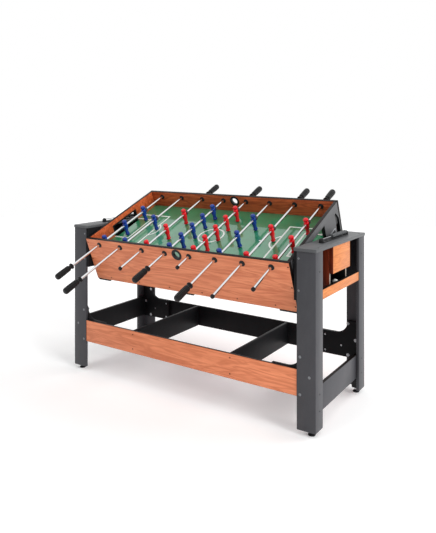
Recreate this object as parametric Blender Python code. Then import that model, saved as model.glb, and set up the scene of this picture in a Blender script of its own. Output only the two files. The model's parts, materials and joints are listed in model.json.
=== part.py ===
"""Swivelling two-game table: table football on one face of a cabinet and pool on the other.

Lengths are in metres and angles in degrees. X runs along the table, Y from its front side to its
rear, Z up. The cabinet is modelled level about its pivot, football side up, and then tilted.
"""

from math import atan2, cos, pi, radians, sin, tau

import bmesh
import bpy
from mathutils import Matrix, Vector

# Bevels are rounded to this share of their width
BEVEL_SHARE = 0.5

# Clearances
FIT = 0.0003
RUNNING_FIT = 0.0006
OVERRUN = 0.003
OVERLAP = 0.001
MERGE = 0.000001

# Cabinet shell
CABINET_LENGTH = 1.216
CABINET_WIDTH = 0.610
CABINET_DEPTH = 0.250
CABINET_TILT = 22.0
APRON_THICK = 0.018
END_WALL_THICK = 0.016
PIVOT_HEIGHT = 0.7335

# Rods and their bearings
ROD_RADIUS = 0.00635
ROD_BELOW_RIM = 0.0315
ROD_SIDES = 10
BEARING_SIDES = 10
BEARING_RADIUS = 0.013
BEARING_FLANGE = 0.003
BUMPER_LENGTH = 0.012
BUMPER_RADIUS = 0.0125
GRIP_REACH = 0.160
GRIP_LENGTH = 0.110
GRIP_RADIUS = 0.0165
# Place along the grip and radius, as shares of the grip's length and radius
GRIP_SHARES = ((0.0, 0.95), (0.07, 0.95), (0.11, 0.60), (0.25, 0.90), (0.90, 1.0), (0.98, 0.72))
TAIL_REACH = 0.017
TAIL_CAP_LENGTH = 0.012
TAIL_CAP_RADIUS = 0.0098
MEN_PER_ROD = (3, 2, 3, 5, 5, 3, 2, 3)
BLUE_RODS = (0, 1, 3, 5)
FRONT_GRIP_RODS = (0, 1, 3, 5)
# Distance between the players of a rod, as a share of the field's width
MEN_SPACING_SHARES = {2: 0.453, 3: 0.305, 5: 0.185}

# Player figure, measured from the rod's axis
HEAD_HEIGHT = 0.032
FOOT_DROP = 0.0595
MAN_WIDTH = 0.030
CHEST_WALL = 0.006
# Height (down to the foot -1, up to the crown 1), width, depth and squareness of each section
MAN_SECTION_SHARES = (
    (-1.00, 0.62, 0.70, 0.55),
    (-0.90, 0.72, 0.84, 0.60),
    (-0.75, 0.52, 0.50, 0.55),
    (-0.42, 0.60, 0.58, 0.55),
    (-0.37, 0.84, 0.80, 0.60),
    (-0.16, 0.92, 0.86, 0.70),
    (0.30, 1.00, 1.00, 0.72),
    (0.44, 0.46, 0.56, 0.45),
    (0.70, 0.76, 0.92, 0.45),
    (1.00, 0.30, 0.36, 0.45),
)

# Football field and goals
FOOT_GAP = 0.0025
FIELD_THICK = 0.012
GOAL_WIDTH = 0.200
GOAL_TOP_BELOW_RIM = 0.035
GOAL_SILL_WALL = 0.0042
GOAL_RAMP_LENGTH = 0.017
SERVE_RING_RADIUS = 0.025
SERVE_HOLE_RADIUS = 0.018
SERVE_RING_LIP = 0.002
SERVE_RING_SIDES = 16
BALL_RADIUS = 0.017

# Pool side
POOL_DEPTH = 0.040
POOL_BED_THICK = 0.015
CUSHION_WIDTH = 0.046
CUSHION_NOSE_LOW = 0.020
CUSHION_NOSE_HIGH = 0.026
CUSHION_SLOPE = 0.012
CUSHION_BELOW_RIM = 0.0015
CUSHION_UNDERCUT = 0.007
RIM_WIDTH = 0.008
RIM_THICK = 0.013
POCKET_RADIUS = 0.0265
POCKET_WALL = 0.0035
POCKET_DEPTH = 0.090
POCKET_SIDES = 12
POCKET_MOUTH = 0.044
POCKET_MOUTH_FLARE_SHARE = 1.35
BALL_SLOT_WIDTH = 0.044
BALL_SLOT_TOP_RECESS = 0.063
BALL_SLOT_FAR_RECESS = 0.0255
BALL_SLOT_CROWN_SHARE = 0.35
BALL_SLOT_RECESS_DEPTH = 0.005
BALL_SLOT_BELOW_FIELD = 0.005
BALL_SLOT_ABOVE_RIM = 0.018

# Pivot and lock
STUB_RADIUS = 0.008
STUB_BOSS_RADIUS = 0.016
STUB_BOSS_LENGTH = 0.010
HUB_PLATE_WIDTH = 0.060
HUB_PLATE_DROP = 0.034
HUB_PLATE_THICK = 0.006
LOCK_OFFSET = 0.165
LOCK_PIN_RADIUS = 0.004
LOCK_KNOB_RADIUS = 0.011
LOCK_KNOB_LENGTH = 0.018
LOCK_COLLAR_RADIUS = 0.007
LOCK_COLLAR_LENGTH = 0.012
ROUND_SIDES = 12

# Pedestals
SWING_GAP = 0.009
BOARD = 0.015
FRAME_WIDTH = 0.610
LEG_FRONT_WIDTH = 0.088
LEG_SIDE_WIDTH = 0.078
LEG_EDGE_ROUND = 0.002
LEG_FLOOR_GAP = 0.022
CAP_ABOVE_PIVOT = 0.0665
CAP_THICK = 0.014
CAP_OVERHANG = 0.004
CAP_EDGE_ROUND = 0.0015
PANEL_END_INSET = 0.005
PANEL_BELOW_PIVOT = 0.1605
UPPER_RAIL_HEIGHT = 0.043
END_FACE_INSET = 0.002
FOOT_BLOCK_SIZE = 0.034
FOOT_BLOCK_HEIGHT = 0.040
FOOT_BLOCK_ROOF = 0.005
FOOT_PAD_RADIUS = 0.0165
FOOT_PAD_HEIGHT = 0.009
FOOT_NECK_RADIUS = 0.0085
FOOT_STEM_RADIUS = 0.004
FOOT_SIDES = 12

# Ball return box
BOX_WIDTH = 0.212
BOX_WALL = 0.013
BOX_FRONT_THICK = 0.018
BOX_FRONT_HEIGHT = 0.123
TRAY_ABOVE_PANEL_BOTTOM = 0.002
TRAY_THICK = 0.008

# Lower frame
RAIL_HEIGHT = 0.116
RAIL_THICK = 0.012
RAIL_BOTTOM = 0.163
END_RAIL_BOTTOM_RIGHT = 0.083
END_RAIL_BOTTOM_LEFT = 0.168
CROSS_BOARD_OFFSET = 0.295
GUSSET_LENGTH = 0.200
GUSSET_POST_WIDTH = 0.060
GUSSET_POST_HEIGHT = 0.187
GUSSET_ARC_STEPS = 6
GUSSET_LEDGE = 0.002

# Scorers
SCORER_LENGTH = 0.330
SCORER_WIDTH = 0.024
SCORER_BASE_HEIGHT = 0.005
SCORER_REAR_SHIFT = 0.031
SCORER_POST_RADIUS = 0.011
SCORER_POST_HEIGHT = 0.022
SCORER_SHOULDER_SHARES = ((0.62, 1.0), (0.9, 0.7))
SCORER_ROD_RADIUS = 0.002
SCORER_ROD_HEIGHT = 0.0155
SCORER_SIDES = 8
BEAD_COUNT = 10
BEAD_RADIUS = 0.0098
BEAD_LENGTH = 0.017
BEAD_NECK_RADIUS = 0.0080

# Values worked out from the cabinet's sizes
HALF_LENGTH = CABINET_LENGTH / 2
HALF_WIDTH = CABINET_WIDTH / 2
HALF_DEPTH = CABINET_DEPTH / 2
INNER_X = HALF_LENGTH - END_WALL_THICK
INNER_Y = HALF_WIDTH - APRON_THICK
ROD_COUNT = len(MEN_PER_ROD)
ROD_PITCH = 2 * INNER_X / ROD_COUNT
ROD_Z = HALF_DEPTH - ROD_BELOW_RIM
FIELD_TOP = ROD_Z - FOOT_DROP - FOOT_GAP
FIELD_BOTTOM = FIELD_TOP - FIELD_THICK
STUB_BORE = STUB_RADIUS + RUNNING_FIT
GOAL_SILL = STUB_BORE + GOAL_SILL_WALL
GOAL_TOP = HALF_DEPTH - GOAL_TOP_BELOW_RIM
POOL_RIM = -HALF_DEPTH
POOL_CLOTH = POOL_RIM + POOL_DEPTH
POOL_BED_BACK = POOL_CLOTH + POOL_BED_THICK
RIM_BACK = POOL_RIM + RIM_THICK - FIT
POCKET_OUTER = POCKET_RADIUS + POCKET_WALL
POCKET_X = INNER_X - FIT - POCKET_OUTER
POCKET_Y = INNER_Y - FIT - POCKET_OUTER
POCKET_BOTTOM = POOL_RIM + POCKET_DEPTH

# Values worked out for the pedestals
CAP_TOP = PIVOT_HEIGHT + CAP_ABOVE_PIVOT
PANEL_BOTTOM = PIVOT_HEIGHT - PANEL_BELOW_PIVOT
PANEL_INNER_X = HALF_LENGTH + SWING_GAP
PANEL_OUTER_X = PANEL_INNER_X + BOARD
LEG_OUTER_X = PANEL_OUTER_X + LEG_FRONT_WIDTH
LEG_INNER_X = LEG_OUTER_X - BOARD
LEG_OUTER_Y = FRAME_WIDTH / 2
LEG_INNER_Y = LEG_OUTER_Y - BOARD
LEG_SIDE_Y = LEG_OUTER_Y - LEG_SIDE_WIDTH
LEG_TOP = CAP_TOP - CAP_THICK - FIT
END_FACE_X = LEG_OUTER_X - END_FACE_INSET
FOOT_X = LEG_INNER_X - FOOT_BLOCK_SIZE / 2
FOOT_Y = LEG_INNER_Y - FOOT_BLOCK_SIZE / 2
BOX_BACK_X = PANEL_OUTER_X + FIT
BOX_FRONT_X = END_FACE_X - BOX_FRONT_THICK
TRAY_TOP = PANEL_BOTTOM + TRAY_ABOVE_PANEL_BOTTOM + TRAY_THICK
NOTCH_BOTTOM = PIVOT_HEIGHT + GOAL_SILL - OVERLAP
GUSSET_INNER_Y = LEG_INNER_Y - FIT - BOARD
SCORER_X = (PANEL_INNER_X + LEG_OUTER_X) / 2

COLOURS = {
    "leg_laminate": ((0.065, 0.065, 0.072), 0.5, 0.0),
    "dark_board": ((0.012, 0.012, 0.012), 0.5, 0.0),
    "cherry_laminate": ((0.65, 0.24, 0.12), 0.4, 0.0),
    "end_laminate": ((0.10, 0.10, 0.10), 0.45, 0.0),
    "green_field": ((0.11, 0.32, 0.20), 0.3, 0.0),
    "red_cloth": ((0.43, 0.0, 0.03), 0.9, 0.0),
    "black_plastic": ((0.02, 0.02, 0.02), 0.4, 0.0),
    "grey_plastic": ((0.35, 0.35, 0.35), 0.4, 0.0),
    "white_plastic": ((0.85, 0.85, 0.85), 0.35, 0.0),
    "red_players": ((0.63, 0.01, 0.02), 0.3, 0.0),
    "blue_players": ((0.01, 0.05, 0.37), 0.3, 0.0),
    "black_rubber": ((0.012, 0.012, 0.012), 0.8, 0.0),
    "plated_steel": ((0.75, 0.75, 0.75), 0.15, 1.0),
}


def clear_scene():
    """Removes every object that is in the scene."""
    for thing in list(bpy.data.objects):
        bpy.data.objects.remove(thing, do_unlink=True)


def finish_of(name):
    """The material of that name, made on its first use."""
    found = bpy.data.materials.get(name)
    if found:
        return found
    colour, roughness, metallic = COLOURS[name]
    made = bpy.data.materials.new(name)
    made.use_nodes = True
    shader = made.node_tree.nodes["Principled BSDF"]
    shader.inputs["Base Color"].default_value = (*colour, 1.0)
    shader.inputs["Roughness"].default_value = roughness
    shader.inputs["Metallic"].default_value = metallic
    return made


def object_from(bm, name):
    """An object with the bmesh's faces, turned outwards."""
    bmesh.ops.recalc_face_normals(bm, faces=bm.faces)
    mesh = bpy.data.meshes.new(name)
    bm.to_mesh(mesh)
    bm.free()
    thing = bpy.data.objects.new(name, mesh)
    bpy.context.scene.collection.objects.link(thing)
    return thing


def block(name, low, high):
    """A rectangular block between two corners."""
    bm = bmesh.new()
    bmesh.ops.create_cube(bm, size=1.0)
    size = Vector(high) - Vector(low)
    middle = (Vector(high) + Vector(low)) / 2
    bmesh.ops.scale(bm, vec=size, verts=bm.verts)
    bmesh.ops.translate(bm, vec=middle, verts=bm.verts)
    return object_from(bm, name)


# Quarter turns that take the Z axis to the named one
AXIS_TURNS = {
    "X": Matrix(((0, 0, 1), (1, 0, 0), (0, 1, 0))).to_4x4(),
    "Y": Matrix(((1, 0, 0), (0, 0, 1), (0, -1, 0))).to_4x4(),
    "Z": Matrix.Identity(4),
}


def turned(name, profile, sides, axis="Z", at=(0, 0, 0)):
    """A solid of revolution: profile holds (radius, distance along the axis), in order.

    The facets' flats lie half a step from the first radius, so neighbours of as many sides match.
    A profile that starts and ends at radius zero closes on the axis; any other closes on itself.
    """
    bm = bmesh.new()
    points = [bm.verts.new((radius, 0, along)) for radius, along in profile]
    for first, second in zip(points, points[1:]):
        bm.edges.new((first, second))
    if profile[0][0] > 0:
        bm.edges.new((points[-1], points[0]))
    bmesh.ops.spin(
        bm,
        geom=bm.verts[:] + bm.edges[:],
        axis=(0, 0, 1),
        cent=(0, 0, 0),
        angle=tau,
        steps=sides,
        use_merge=True,
    )
    bmesh.ops.remove_doubles(bm, verts=bm.verts, dist=MERGE)
    bmesh.ops.transform(bm, matrix=AXIS_TURNS[axis], verts=bm.verts)
    bmesh.ops.translate(bm, vec=at, verts=bm.verts)
    return object_from(bm, name)


def cylinder(name, radius, start, end, sides, axis="Z", at=(0, 0, 0)):
    """A plain cylinder along an axis."""
    return turned(name, [(0, start), (radius, start), (radius, end), (0, end)], sides, axis, at)


def extruded(name, outline, axis, start, end):
    """A prism whose outline lies across the axis, in the order of the other two axes."""
    places = {
        "X": lambda u, v, w: (w, u, v),
        "Y": lambda u, v, w: (u, w, v),
        "Z": lambda u, v, w: (u, v, w),
    }
    bm = bmesh.new()
    face = bm.faces.new([bm.verts.new(places[axis](u, v, start)) for u, v in outline])
    moved = bmesh.ops.extrude_face_region(bm, geom=[face])
    tops = [item for item in moved["geom"] if isinstance(item, bmesh.types.BMVert)]
    bmesh.ops.translate(bm, vec=places[axis](0, 0, end - start), verts=tops)
    return object_from(bm, name)


def lofted(name, sections):
    """A closed solid through sections that have as many points each."""
    bm = bmesh.new()
    rings = [[bm.verts.new(point) for point in section] for section in sections]
    count = len(rings[0])
    for lower, upper in zip(rings, rings[1:]):
        for k in range(count):
            after = (k + 1) % count
            bm.faces.new((lower[k], lower[after], upper[after], upper[k]))
    bm.faces.new(rings[0])
    bm.faces.new(rings[-1])
    return object_from(bm, name)


def grouped(name, things):
    """One object from several that lie apart from each other."""
    bm = bmesh.new()
    for thing in things:
        bm.from_mesh(thing.data)
        bpy.data.objects.remove(thing, do_unlink=True)
    mesh = bpy.data.meshes.new(name)
    bm.to_mesh(mesh)
    bm.free()
    group = bpy.data.objects.new(name, mesh)
    bpy.context.scene.collection.objects.link(group)
    return group


def combine(target, operation, tools):
    """Applies Booleans of one kind to the target, then removes the tools."""
    for tool in tools:
        tool.hide_render = True
        tool.display_type = "WIRE"
        step = target.modifiers.new("shape", "BOOLEAN")
        step.operation = operation
        step.solver = "EXACT"
        step.object = tool
    bpy.context.view_layer.update()
    graph = bpy.context.evaluated_depsgraph_get()
    shaped = bpy.data.meshes.new_from_object(target.evaluated_get(graph))
    target.modifiers.clear()
    target.data = shaped
    for tool in tools:
        bpy.data.objects.remove(tool, do_unlink=True)
    return target


def joined(target, *tools):
    """The union of the target and the tools."""
    return combine(target, "UNION", tools)


def cut(target, *tools):
    """The target less the tools."""
    return combine(target, "DIFFERENCE", tools)


def rounded_edges(thing, width, chosen):
    """Bevels the edges of a block for which chosen(edge) holds."""
    bm = bmesh.new()
    bm.from_mesh(thing.data)
    edges = [edge for edge in bm.edges if chosen(edge)]
    bmesh.ops.bevel(
        bm,
        geom=edges,
        offset=width,
        segments=1,
        profile=BEVEL_SHARE,
        affect="EDGES",
        material=-1,
    )
    bm.to_mesh(thing.data)
    bm.free()
    return thing


def placed(thing, finish, parent, location=(0, 0, 0)):
    """Gives the finished piece its material, its parent and its place."""
    thing.data.materials.clear()
    thing.data.materials.append(finish_of(finish))
    thing.data.shade_smooth()
    thing.data.set_sharp_from_angle(angle=radians(35))
    thing.parent = parent
    thing.location = location
    return thing


def empty(name, parent=None, location=(0, 0, 0)):
    """An empty that carries pieces."""
    holder = bpy.data.objects.new(name, None)
    bpy.context.scene.collection.objects.link(holder)
    holder.parent = parent
    holder.location = location
    return holder


def rod_x(index):
    """Where a rod lies along the cabinet."""
    return (index - (ROD_COUNT - 1) / 2) * ROD_PITCH


def men_half_span(index):
    """From the middle of a rod's players to its outermost one."""
    count = MEN_PER_ROD[index]
    return (count - 1) / 2 * MEN_SPACING_SHARES[count] * 2 * INNER_Y


def slide_reach(index):
    """How far a rod slides each way from the middle of the field."""
    stop = INNER_Y - BEARING_FLANGE - FIT - BUMPER_LENGTH
    return stop - MAN_WIDTH / 2 - men_half_span(index)


def apron(name, side, parent):
    """A long wall of the cabinet with its rod bearings and serving ring."""
    inner, outer = sorted((side * INNER_Y, side * HALF_WIDTH))
    wall = block(name, (-HALF_LENGTH, inner, -HALF_DEPTH), (HALF_LENGTH, outer, HALF_DEPTH))
    bosses = []
    bores = []
    for index in range(ROD_COUNT):
        at = (rod_x(index), 0, ROD_Z)
        lips = (inner - BEARING_FLANGE, outer + BEARING_FLANGE)
        bosses.append(cylinder("boss", BEARING_RADIUS, *lips, BEARING_SIDES, "Y", at))
        ends = (lips[0] - OVERRUN, lips[1] + OVERRUN)
        bores.append(cylinder("bore", ROD_RADIUS + RUNNING_FIT, *ends, BEARING_SIDES, "Y", at))
    at = (0, 0, ROD_Z)
    lips = (inner - SERVE_RING_LIP, outer + SERVE_RING_LIP)
    bosses.append(cylinder("boss", SERVE_RING_RADIUS, *lips, SERVE_RING_SIDES, "Y", at))
    ends = (lips[0] - OVERRUN, lips[1] + OVERRUN)
    bores.append(cylinder("bore", SERVE_HOLE_RADIUS, *ends, SERVE_RING_SIDES, "Y", at))
    joined(wall, grouped("bosses", bosses))
    cut(wall, grouped("bores", bores))
    return placed(wall, "cherry_laminate", parent)


def goal_ramp(side, half_width):
    """The wedge over a goal's sill, which falls from the field to the end wall's outer face."""
    start = INNER_X - GOAL_RAMP_LENGTH
    slope = (FIELD_TOP - GOAL_SILL) / (HALF_LENGTH - start)
    outer = HALF_LENGTH + OVERRUN
    outline = [
        (side * start, FIELD_TOP),
        (side * outer, FIELD_TOP - slope * (outer - start)),
        (side * outer, GOAL_TOP),
        (side * start, GOAL_TOP),
    ]
    return extruded("ramp", outline, "Y", -half_width, half_width)


def end_wall(name, side, parent):
    """A short wall with goal mouth, pivot boss, lock keeper holes and ball slots."""
    inner, outer = side * INNER_X, side * HALF_LENGTH
    low, high = sorted((inner, outer))
    depth = INNER_Y - FIT
    wall = block(name, (low, -depth, -HALF_DEPTH), (high, depth, HALF_DEPTH))
    boss_end = inner - side * STUB_BOSS_LENGTH
    boss = cylinder("boss", STUB_BOSS_RADIUS, boss_end, inner + side * OVERLAP, ROUND_SIDES, "X")
    joined(wall, boss)
    ends = (boss_end - side * OVERRUN, outer + side * OVERRUN)
    tools = [goal_ramp(side, GOAL_WIDTH / 2)]
    tools.append(cylinder("bore", STUB_BORE, *ends, ROUND_SIDES, "X"))
    face_ends = (inner - side * OVERRUN, outer + side * OVERRUN)
    recess_ends = (outer - side * BALL_SLOT_RECESS_DEPTH, outer + side * OVERRUN)
    for half in (-1, 1):
        at = (0, half * LOCK_OFFSET, 0)
        radius = LOCK_PIN_RADIUS + RUNNING_FIT
        tools.append(cylinder("keeper", radius, *face_ends, BEARING_SIDES, "X", at))
        near = half * POCKET_Y - BALL_SLOT_WIDTH / 2
        far = near + BALL_SLOT_WIDTH
        bottom = POOL_RIM + BALL_SLOT_ABOVE_RIM
        top = FIELD_BOTTOM - BALL_SLOT_BELOW_FIELD
        crown = top + BALL_SLOT_TOP_RECESS
        x = sorted(face_ends)
        tools.append(block("slot", (x[0], near, bottom), (x[1], far, top)))
        inside, outside = (near, far) if half > 0 else (far, near)
        shoulder = inside + (outside - inside) * BALL_SLOT_CROWN_SHARE
        recess = [
            (inside, top - OVERLAP),
            (inside, crown),
            (shoulder, crown),
            (outside, top + BALL_SLOT_FAR_RECESS),
            (outside, top - OVERLAP),
        ]
        tools.append(extruded("recess", recess, "X", *recess_ends))
    cut(wall, *tools)
    return placed(wall, "end_laminate", parent)


def football_field(parent):
    """The playing board, chamfered down to each goal's sill."""
    x, y = INNER_X - FIT, INNER_Y - FIT
    board = block("football_field", (-x, -y, FIELD_BOTTOM), (x, y, FIELD_TOP))
    cut(board, *(goal_ramp(side, GOAL_WIDTH / 2) for side in (-1, 1)))
    return placed(board, "green_field", parent)


def pocket_places():
    """Centres of the six pockets, corners and middles."""
    return [(x, y) for x in (-POCKET_X, 0, POCKET_X) for y in (-POCKET_Y, POCKET_Y)]


def pocket_notch(x, y, radius, low, high):
    """A cutter round a pocket that runs out through the walls that it stands against."""
    tool = cylinder("notch", radius, low, high, POCKET_SIDES, "Z", (x, y, 0))
    sign_x = (x > 0) - (x < 0)
    sign_y = 1 if y > 0 else -1
    out_y = sign_y * (INNER_Y + OVERRUN)
    out_x = sign_x * (INNER_X + OVERRUN) if sign_x else radius
    in_x = x - sign_x * radius if sign_x else -radius
    low_x, high_x = sorted((in_x, out_x))
    low_y, high_y = sorted((y, out_y))
    joined(tool, block("to_long_wall", (low_x, low_y, low), (high_x, high_y, high)))
    if sign_x:
        low_x, high_x = sorted((x, out_x))
        low_y, high_y = sorted((y - sign_y * radius, out_y))
        joined(tool, block("to_end_wall", (low_x, low_y, low), (high_x, high_y, high)))
    return tool


def pocket_mouth(x, y, low, high):
    """The way into a pocket between two cushions, square for a middle and slanted for a corner."""
    sign_x = (x > 0) - (x < 0)
    sign_y = 1 if y > 0 else -1
    reach = CUSHION_WIDTH + POCKET_OUTER
    half = POCKET_MOUTH / 2
    flared = half * POCKET_MOUTH_FLARE_SHARE
    bm = bmesh.new()
    outline = [(0, -half), (reach, -flared), (reach, flared), (0, half)]
    face = bm.faces.new([bm.verts.new((u, v, low)) for u, v in outline])
    moved = bmesh.ops.extrude_face_region(bm, geom=[face])
    tops = [item for item in moved["geom"] if isinstance(item, bmesh.types.BMVert)]
    bmesh.ops.translate(bm, vec=(0, 0, high - low), verts=tops)
    angle = atan2(-sign_y, -sign_x)
    bmesh.ops.rotate(bm, cent=(0, 0, 0), matrix=Matrix.Rotation(angle, 3, "Z"), verts=bm.verts)
    bmesh.ops.translate(bm, vec=(x, y, 0), verts=bm.verts)
    return object_from(bm, "mouth")


def cushion(along_x, sign):
    """A cushion along one wall: its nose overhangs the cloth, its back edge is stepped for the rim."""
    back_y, back_x = INNER_Y - FIT, INNER_X - FIT
    back = back_y if along_x else back_x
    half = back_x if along_x else back_y
    nose = back - CUSHION_WIDTH
    step = back - RIM_WIDTH - FIT
    top = POOL_RIM + CUSHION_BELOW_RIM
    outline = [
        (sign * back, POOL_CLOTH + OVERLAP),
        (sign * (nose + CUSHION_UNDERCUT), POOL_CLOTH + OVERLAP),
        (sign * (nose + CUSHION_UNDERCUT), POOL_CLOTH),
        (sign * nose, POOL_CLOTH - CUSHION_NOSE_LOW),
        (sign * nose, POOL_CLOTH - CUSHION_NOSE_HIGH),
        (sign * (nose + CUSHION_SLOPE), top),
        (sign * step, top),
        (sign * step, RIM_BACK + FIT),
        (sign * back, RIM_BACK + FIT),
    ]
    return extruded("cushion", outline, "X" if along_x else "Y", -half, half)


def pool_bed(parent):
    """The slab with its six cloth-covered cushions."""
    x, y = INNER_X - FIT, INNER_Y - FIT
    slab = block("pool_bed", (-x, -y, POOL_CLOTH), (x, y, POOL_BED_BACK))
    joined(slab, *(cushion(along, sign) for along in (True, False) for sign in (-1, 1)))
    low, high = POOL_RIM - OVERRUN, POOL_BED_BACK + OVERRUN
    radius = POCKET_OUTER + FIT
    notches = [pocket_notch(px, py, radius, low, high) for px, py in pocket_places()]
    mouths = [pocket_mouth(px, py, low, POOL_CLOTH) for px, py in pocket_places()]
    cut(slab, *notches, *mouths)
    return placed(slab, "red_cloth", parent)


def pocket_cup(x, y):
    """A pocket's cup, closed at its far end, as a solid of revolution."""
    inner, outer = POCKET_RADIUS, POCKET_OUTER
    profile = [
        (0, POCKET_BOTTOM - POCKET_WALL),
        (inner, POCKET_BOTTOM - POCKET_WALL),
        (inner, POOL_RIM),
        (outer, POOL_RIM),
        (outer, POCKET_BOTTOM),
        (0, POCKET_BOTTOM),
    ]
    return turned("cup", profile, POCKET_SIDES, "Z", (x, y, 0))


def pool_rim(parent):
    """The narrow strip round the pool with its six pocket cups."""
    x, y = INNER_X - FIT, INNER_Y - FIT
    rim = block("pool_rim", (-x, -y, POOL_RIM), (x, y, RIM_BACK))
    in_x, in_y = x - RIM_WIDTH, y - RIM_WIDTH
    ends = (POOL_RIM - OVERRUN, RIM_BACK + OVERRUN)
    inside = block("inside", (-in_x, -in_y, ends[0]), (in_x, in_y, ends[1]))
    mouths = [
        cylinder("hole", POCKET_RADIUS + OVERLAP, *ends, POCKET_SIDES, "Z", (px, py, 0))
        for px, py in pocket_places()
    ]
    cut(rim, inside, *mouths)
    joined(rim, *(pocket_cup(px, py) for px, py in pocket_places()))
    ways = [
        pocket_mouth(px, py, POOL_RIM - OVERRUN, POOL_CLOTH + FIT) for px, py in pocket_places()
    ]
    windows = []
    for px, py in pocket_places():
        if px:
            side = 1 if px > 0 else -1
            near = py - BALL_SLOT_WIDTH / 2
            low_x, high_x = sorted((px, px + side * (POCKET_OUTER + OVERRUN)))
            low = POOL_RIM + BALL_SLOT_ABOVE_RIM
            high = POCKET_BOTTOM - POCKET_WALL
            windows.append(
                block("window", (low_x, near, low), (high_x, near + BALL_SLOT_WIDTH, high))
            )
    cut(rim, *ways, *windows)
    return placed(rim, "black_plastic", parent)


def man_section(height, width, depth, squareness):
    """Eight points of a player at one height; squareness is how far the flats reach out."""
    x, y = depth / 2, width / 2
    corner_x, corner_y = x * squareness, y * squareness
    return [
        (corner_x, y, height),
        (-corner_x, y, height),
        (-x, corner_y, height),
        (-x, -corner_y, height),
        (-corner_x, -y, height),
        (corner_x, -y, height),
        (x, -corner_y, height),
        (x, corner_y, height),
    ]


def player(along):
    """A moulded player that the rod passes through at the chest."""
    depth = 2 * (ROD_RADIUS + CHEST_WALL)
    sections = []
    for height_share, width_share, depth_share, squareness in MAN_SECTION_SHARES:
        reach = HEAD_HEIGHT if height_share > 0 else FOOT_DROP
        section = man_section(
            height_share * reach, width_share * MAN_WIDTH, depth_share * depth, squareness
        )
        sections.append([(x, y + along, z) for x, y, z in section])
    return lofted("player", sections)


def rod_profile(index):
    """Radius and place of a rod's outline, from the front end to the rear end."""
    reach = slide_reach(index)
    grip_end = HALF_WIDTH + GRIP_REACH + reach
    tail_end = HALF_WIDTH + TAIL_REACH + reach
    grip_start = grip_end - GRIP_LENGTH
    grip = [
        (ROD_RADIUS, grip_start),
        *((GRIP_RADIUS * wide, grip_start + GRIP_LENGTH * far) for far, wide in GRIP_SHARES),
        (0, grip_end),
    ]
    tail = [
        (ROD_RADIUS, tail_end - TAIL_CAP_LENGTH),
        (TAIL_CAP_RADIUS, tail_end - TAIL_CAP_LENGTH),
        (TAIL_CAP_RADIUS, tail_end),
        (0, tail_end),
    ]
    front, rear = (grip, tail) if index in FRONT_GRIP_RODS else (tail, grip)
    collar_far = men_half_span(index) + MAN_WIDTH / 2 + BUMPER_LENGTH
    collar_near = collar_far - BUMPER_LENGTH - OVERLAP
    profile = [(radius, -along) for radius, along in reversed(front)]
    profile += [
        (ROD_RADIUS, -collar_far),
        (BUMPER_RADIUS, -collar_far),
        (BUMPER_RADIUS, -collar_near),
        (ROD_RADIUS, -collar_near),
    ]
    return profile + rear


def rod(index, parent):
    """A rod with its players, collar, grip and end cap, built about its own axis."""
    name = f"rod_{index + 1}_with_players"
    shaft = turned(name, rod_profile(index), ROD_SIDES, "Y")
    half_span = men_half_span(index)
    count = MEN_PER_ROD[index]
    step = 2 * half_span / (count - 1)
    joined(shaft, grouped("players", [player(-half_span + step * k) for k in range(count)]))
    finish = "blue_players" if index in BLUE_RODS else "red_players"
    return placed(shaft, finish, parent, (rod_x(index), -slide_reach(index), ROD_Z))


def bumper(index, parent):
    """The loose rubber ring between a rod's rearmost player and the rear bearing."""
    start = men_half_span(index) + MAN_WIDTH / 2 + FIT
    end = start + BUMPER_LENGTH - FIT
    inner = ROD_RADIUS + RUNNING_FIT
    profile = [(inner, start), (BUMPER_RADIUS, start), (BUMPER_RADIUS, end), (inner, end)]
    ring = turned(f"rod_{index + 1}_bumper", profile, BEARING_SIDES, "Y")
    return placed(ring, "black_rubber", parent, (rod_x(index), -slide_reach(index), ROD_Z))


def leg(name, side, face, parent):
    """An L section leg with the corner block that holds its foot."""
    outline = [
        (side * (PANEL_OUTER_X + FIT), face * LEG_OUTER_Y),
        (side * (LEG_OUTER_X - LEG_EDGE_ROUND), face * LEG_OUTER_Y),
        (side * LEG_OUTER_X, face * (LEG_OUTER_Y - LEG_EDGE_ROUND)),
        (side * LEG_OUTER_X, face * LEG_SIDE_Y),
        (side * LEG_INNER_X, face * LEG_SIDE_Y),
        (side * LEG_INNER_X, face * LEG_INNER_Y),
        (side * (PANEL_OUTER_X + FIT), face * LEG_INNER_Y),
    ]
    post = extruded(name, outline, "Z", LEG_FLOOR_GAP, LEG_TOP)
    near_x = side * (FOOT_X - FOOT_BLOCK_SIZE / 2)
    far_x = side * (LEG_INNER_X + OVERLAP)
    near_y = face * (FOOT_Y - FOOT_BLOCK_SIZE / 2)
    far_y = face * (LEG_INNER_Y + OVERLAP)
    block_top = LEG_FLOOR_GAP + FOOT_BLOCK_HEIGHT
    low = (min(near_x, far_x), min(near_y, far_y), LEG_FLOOR_GAP)
    high = (max(near_x, far_x), max(near_y, far_y), block_top)
    joined(post, block("corner_block", low, high))
    at = (side * FOOT_X, face * FOOT_Y, 0)
    ends = (LEG_FLOOR_GAP - OVERRUN, block_top - FOOT_BLOCK_ROOF)
    cut(post, cylinder("bore", FOOT_STEM_RADIUS + RUNNING_FIT, *ends, BEARING_SIDES, "Z", at))
    return placed(post, "leg_laminate", parent)


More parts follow.
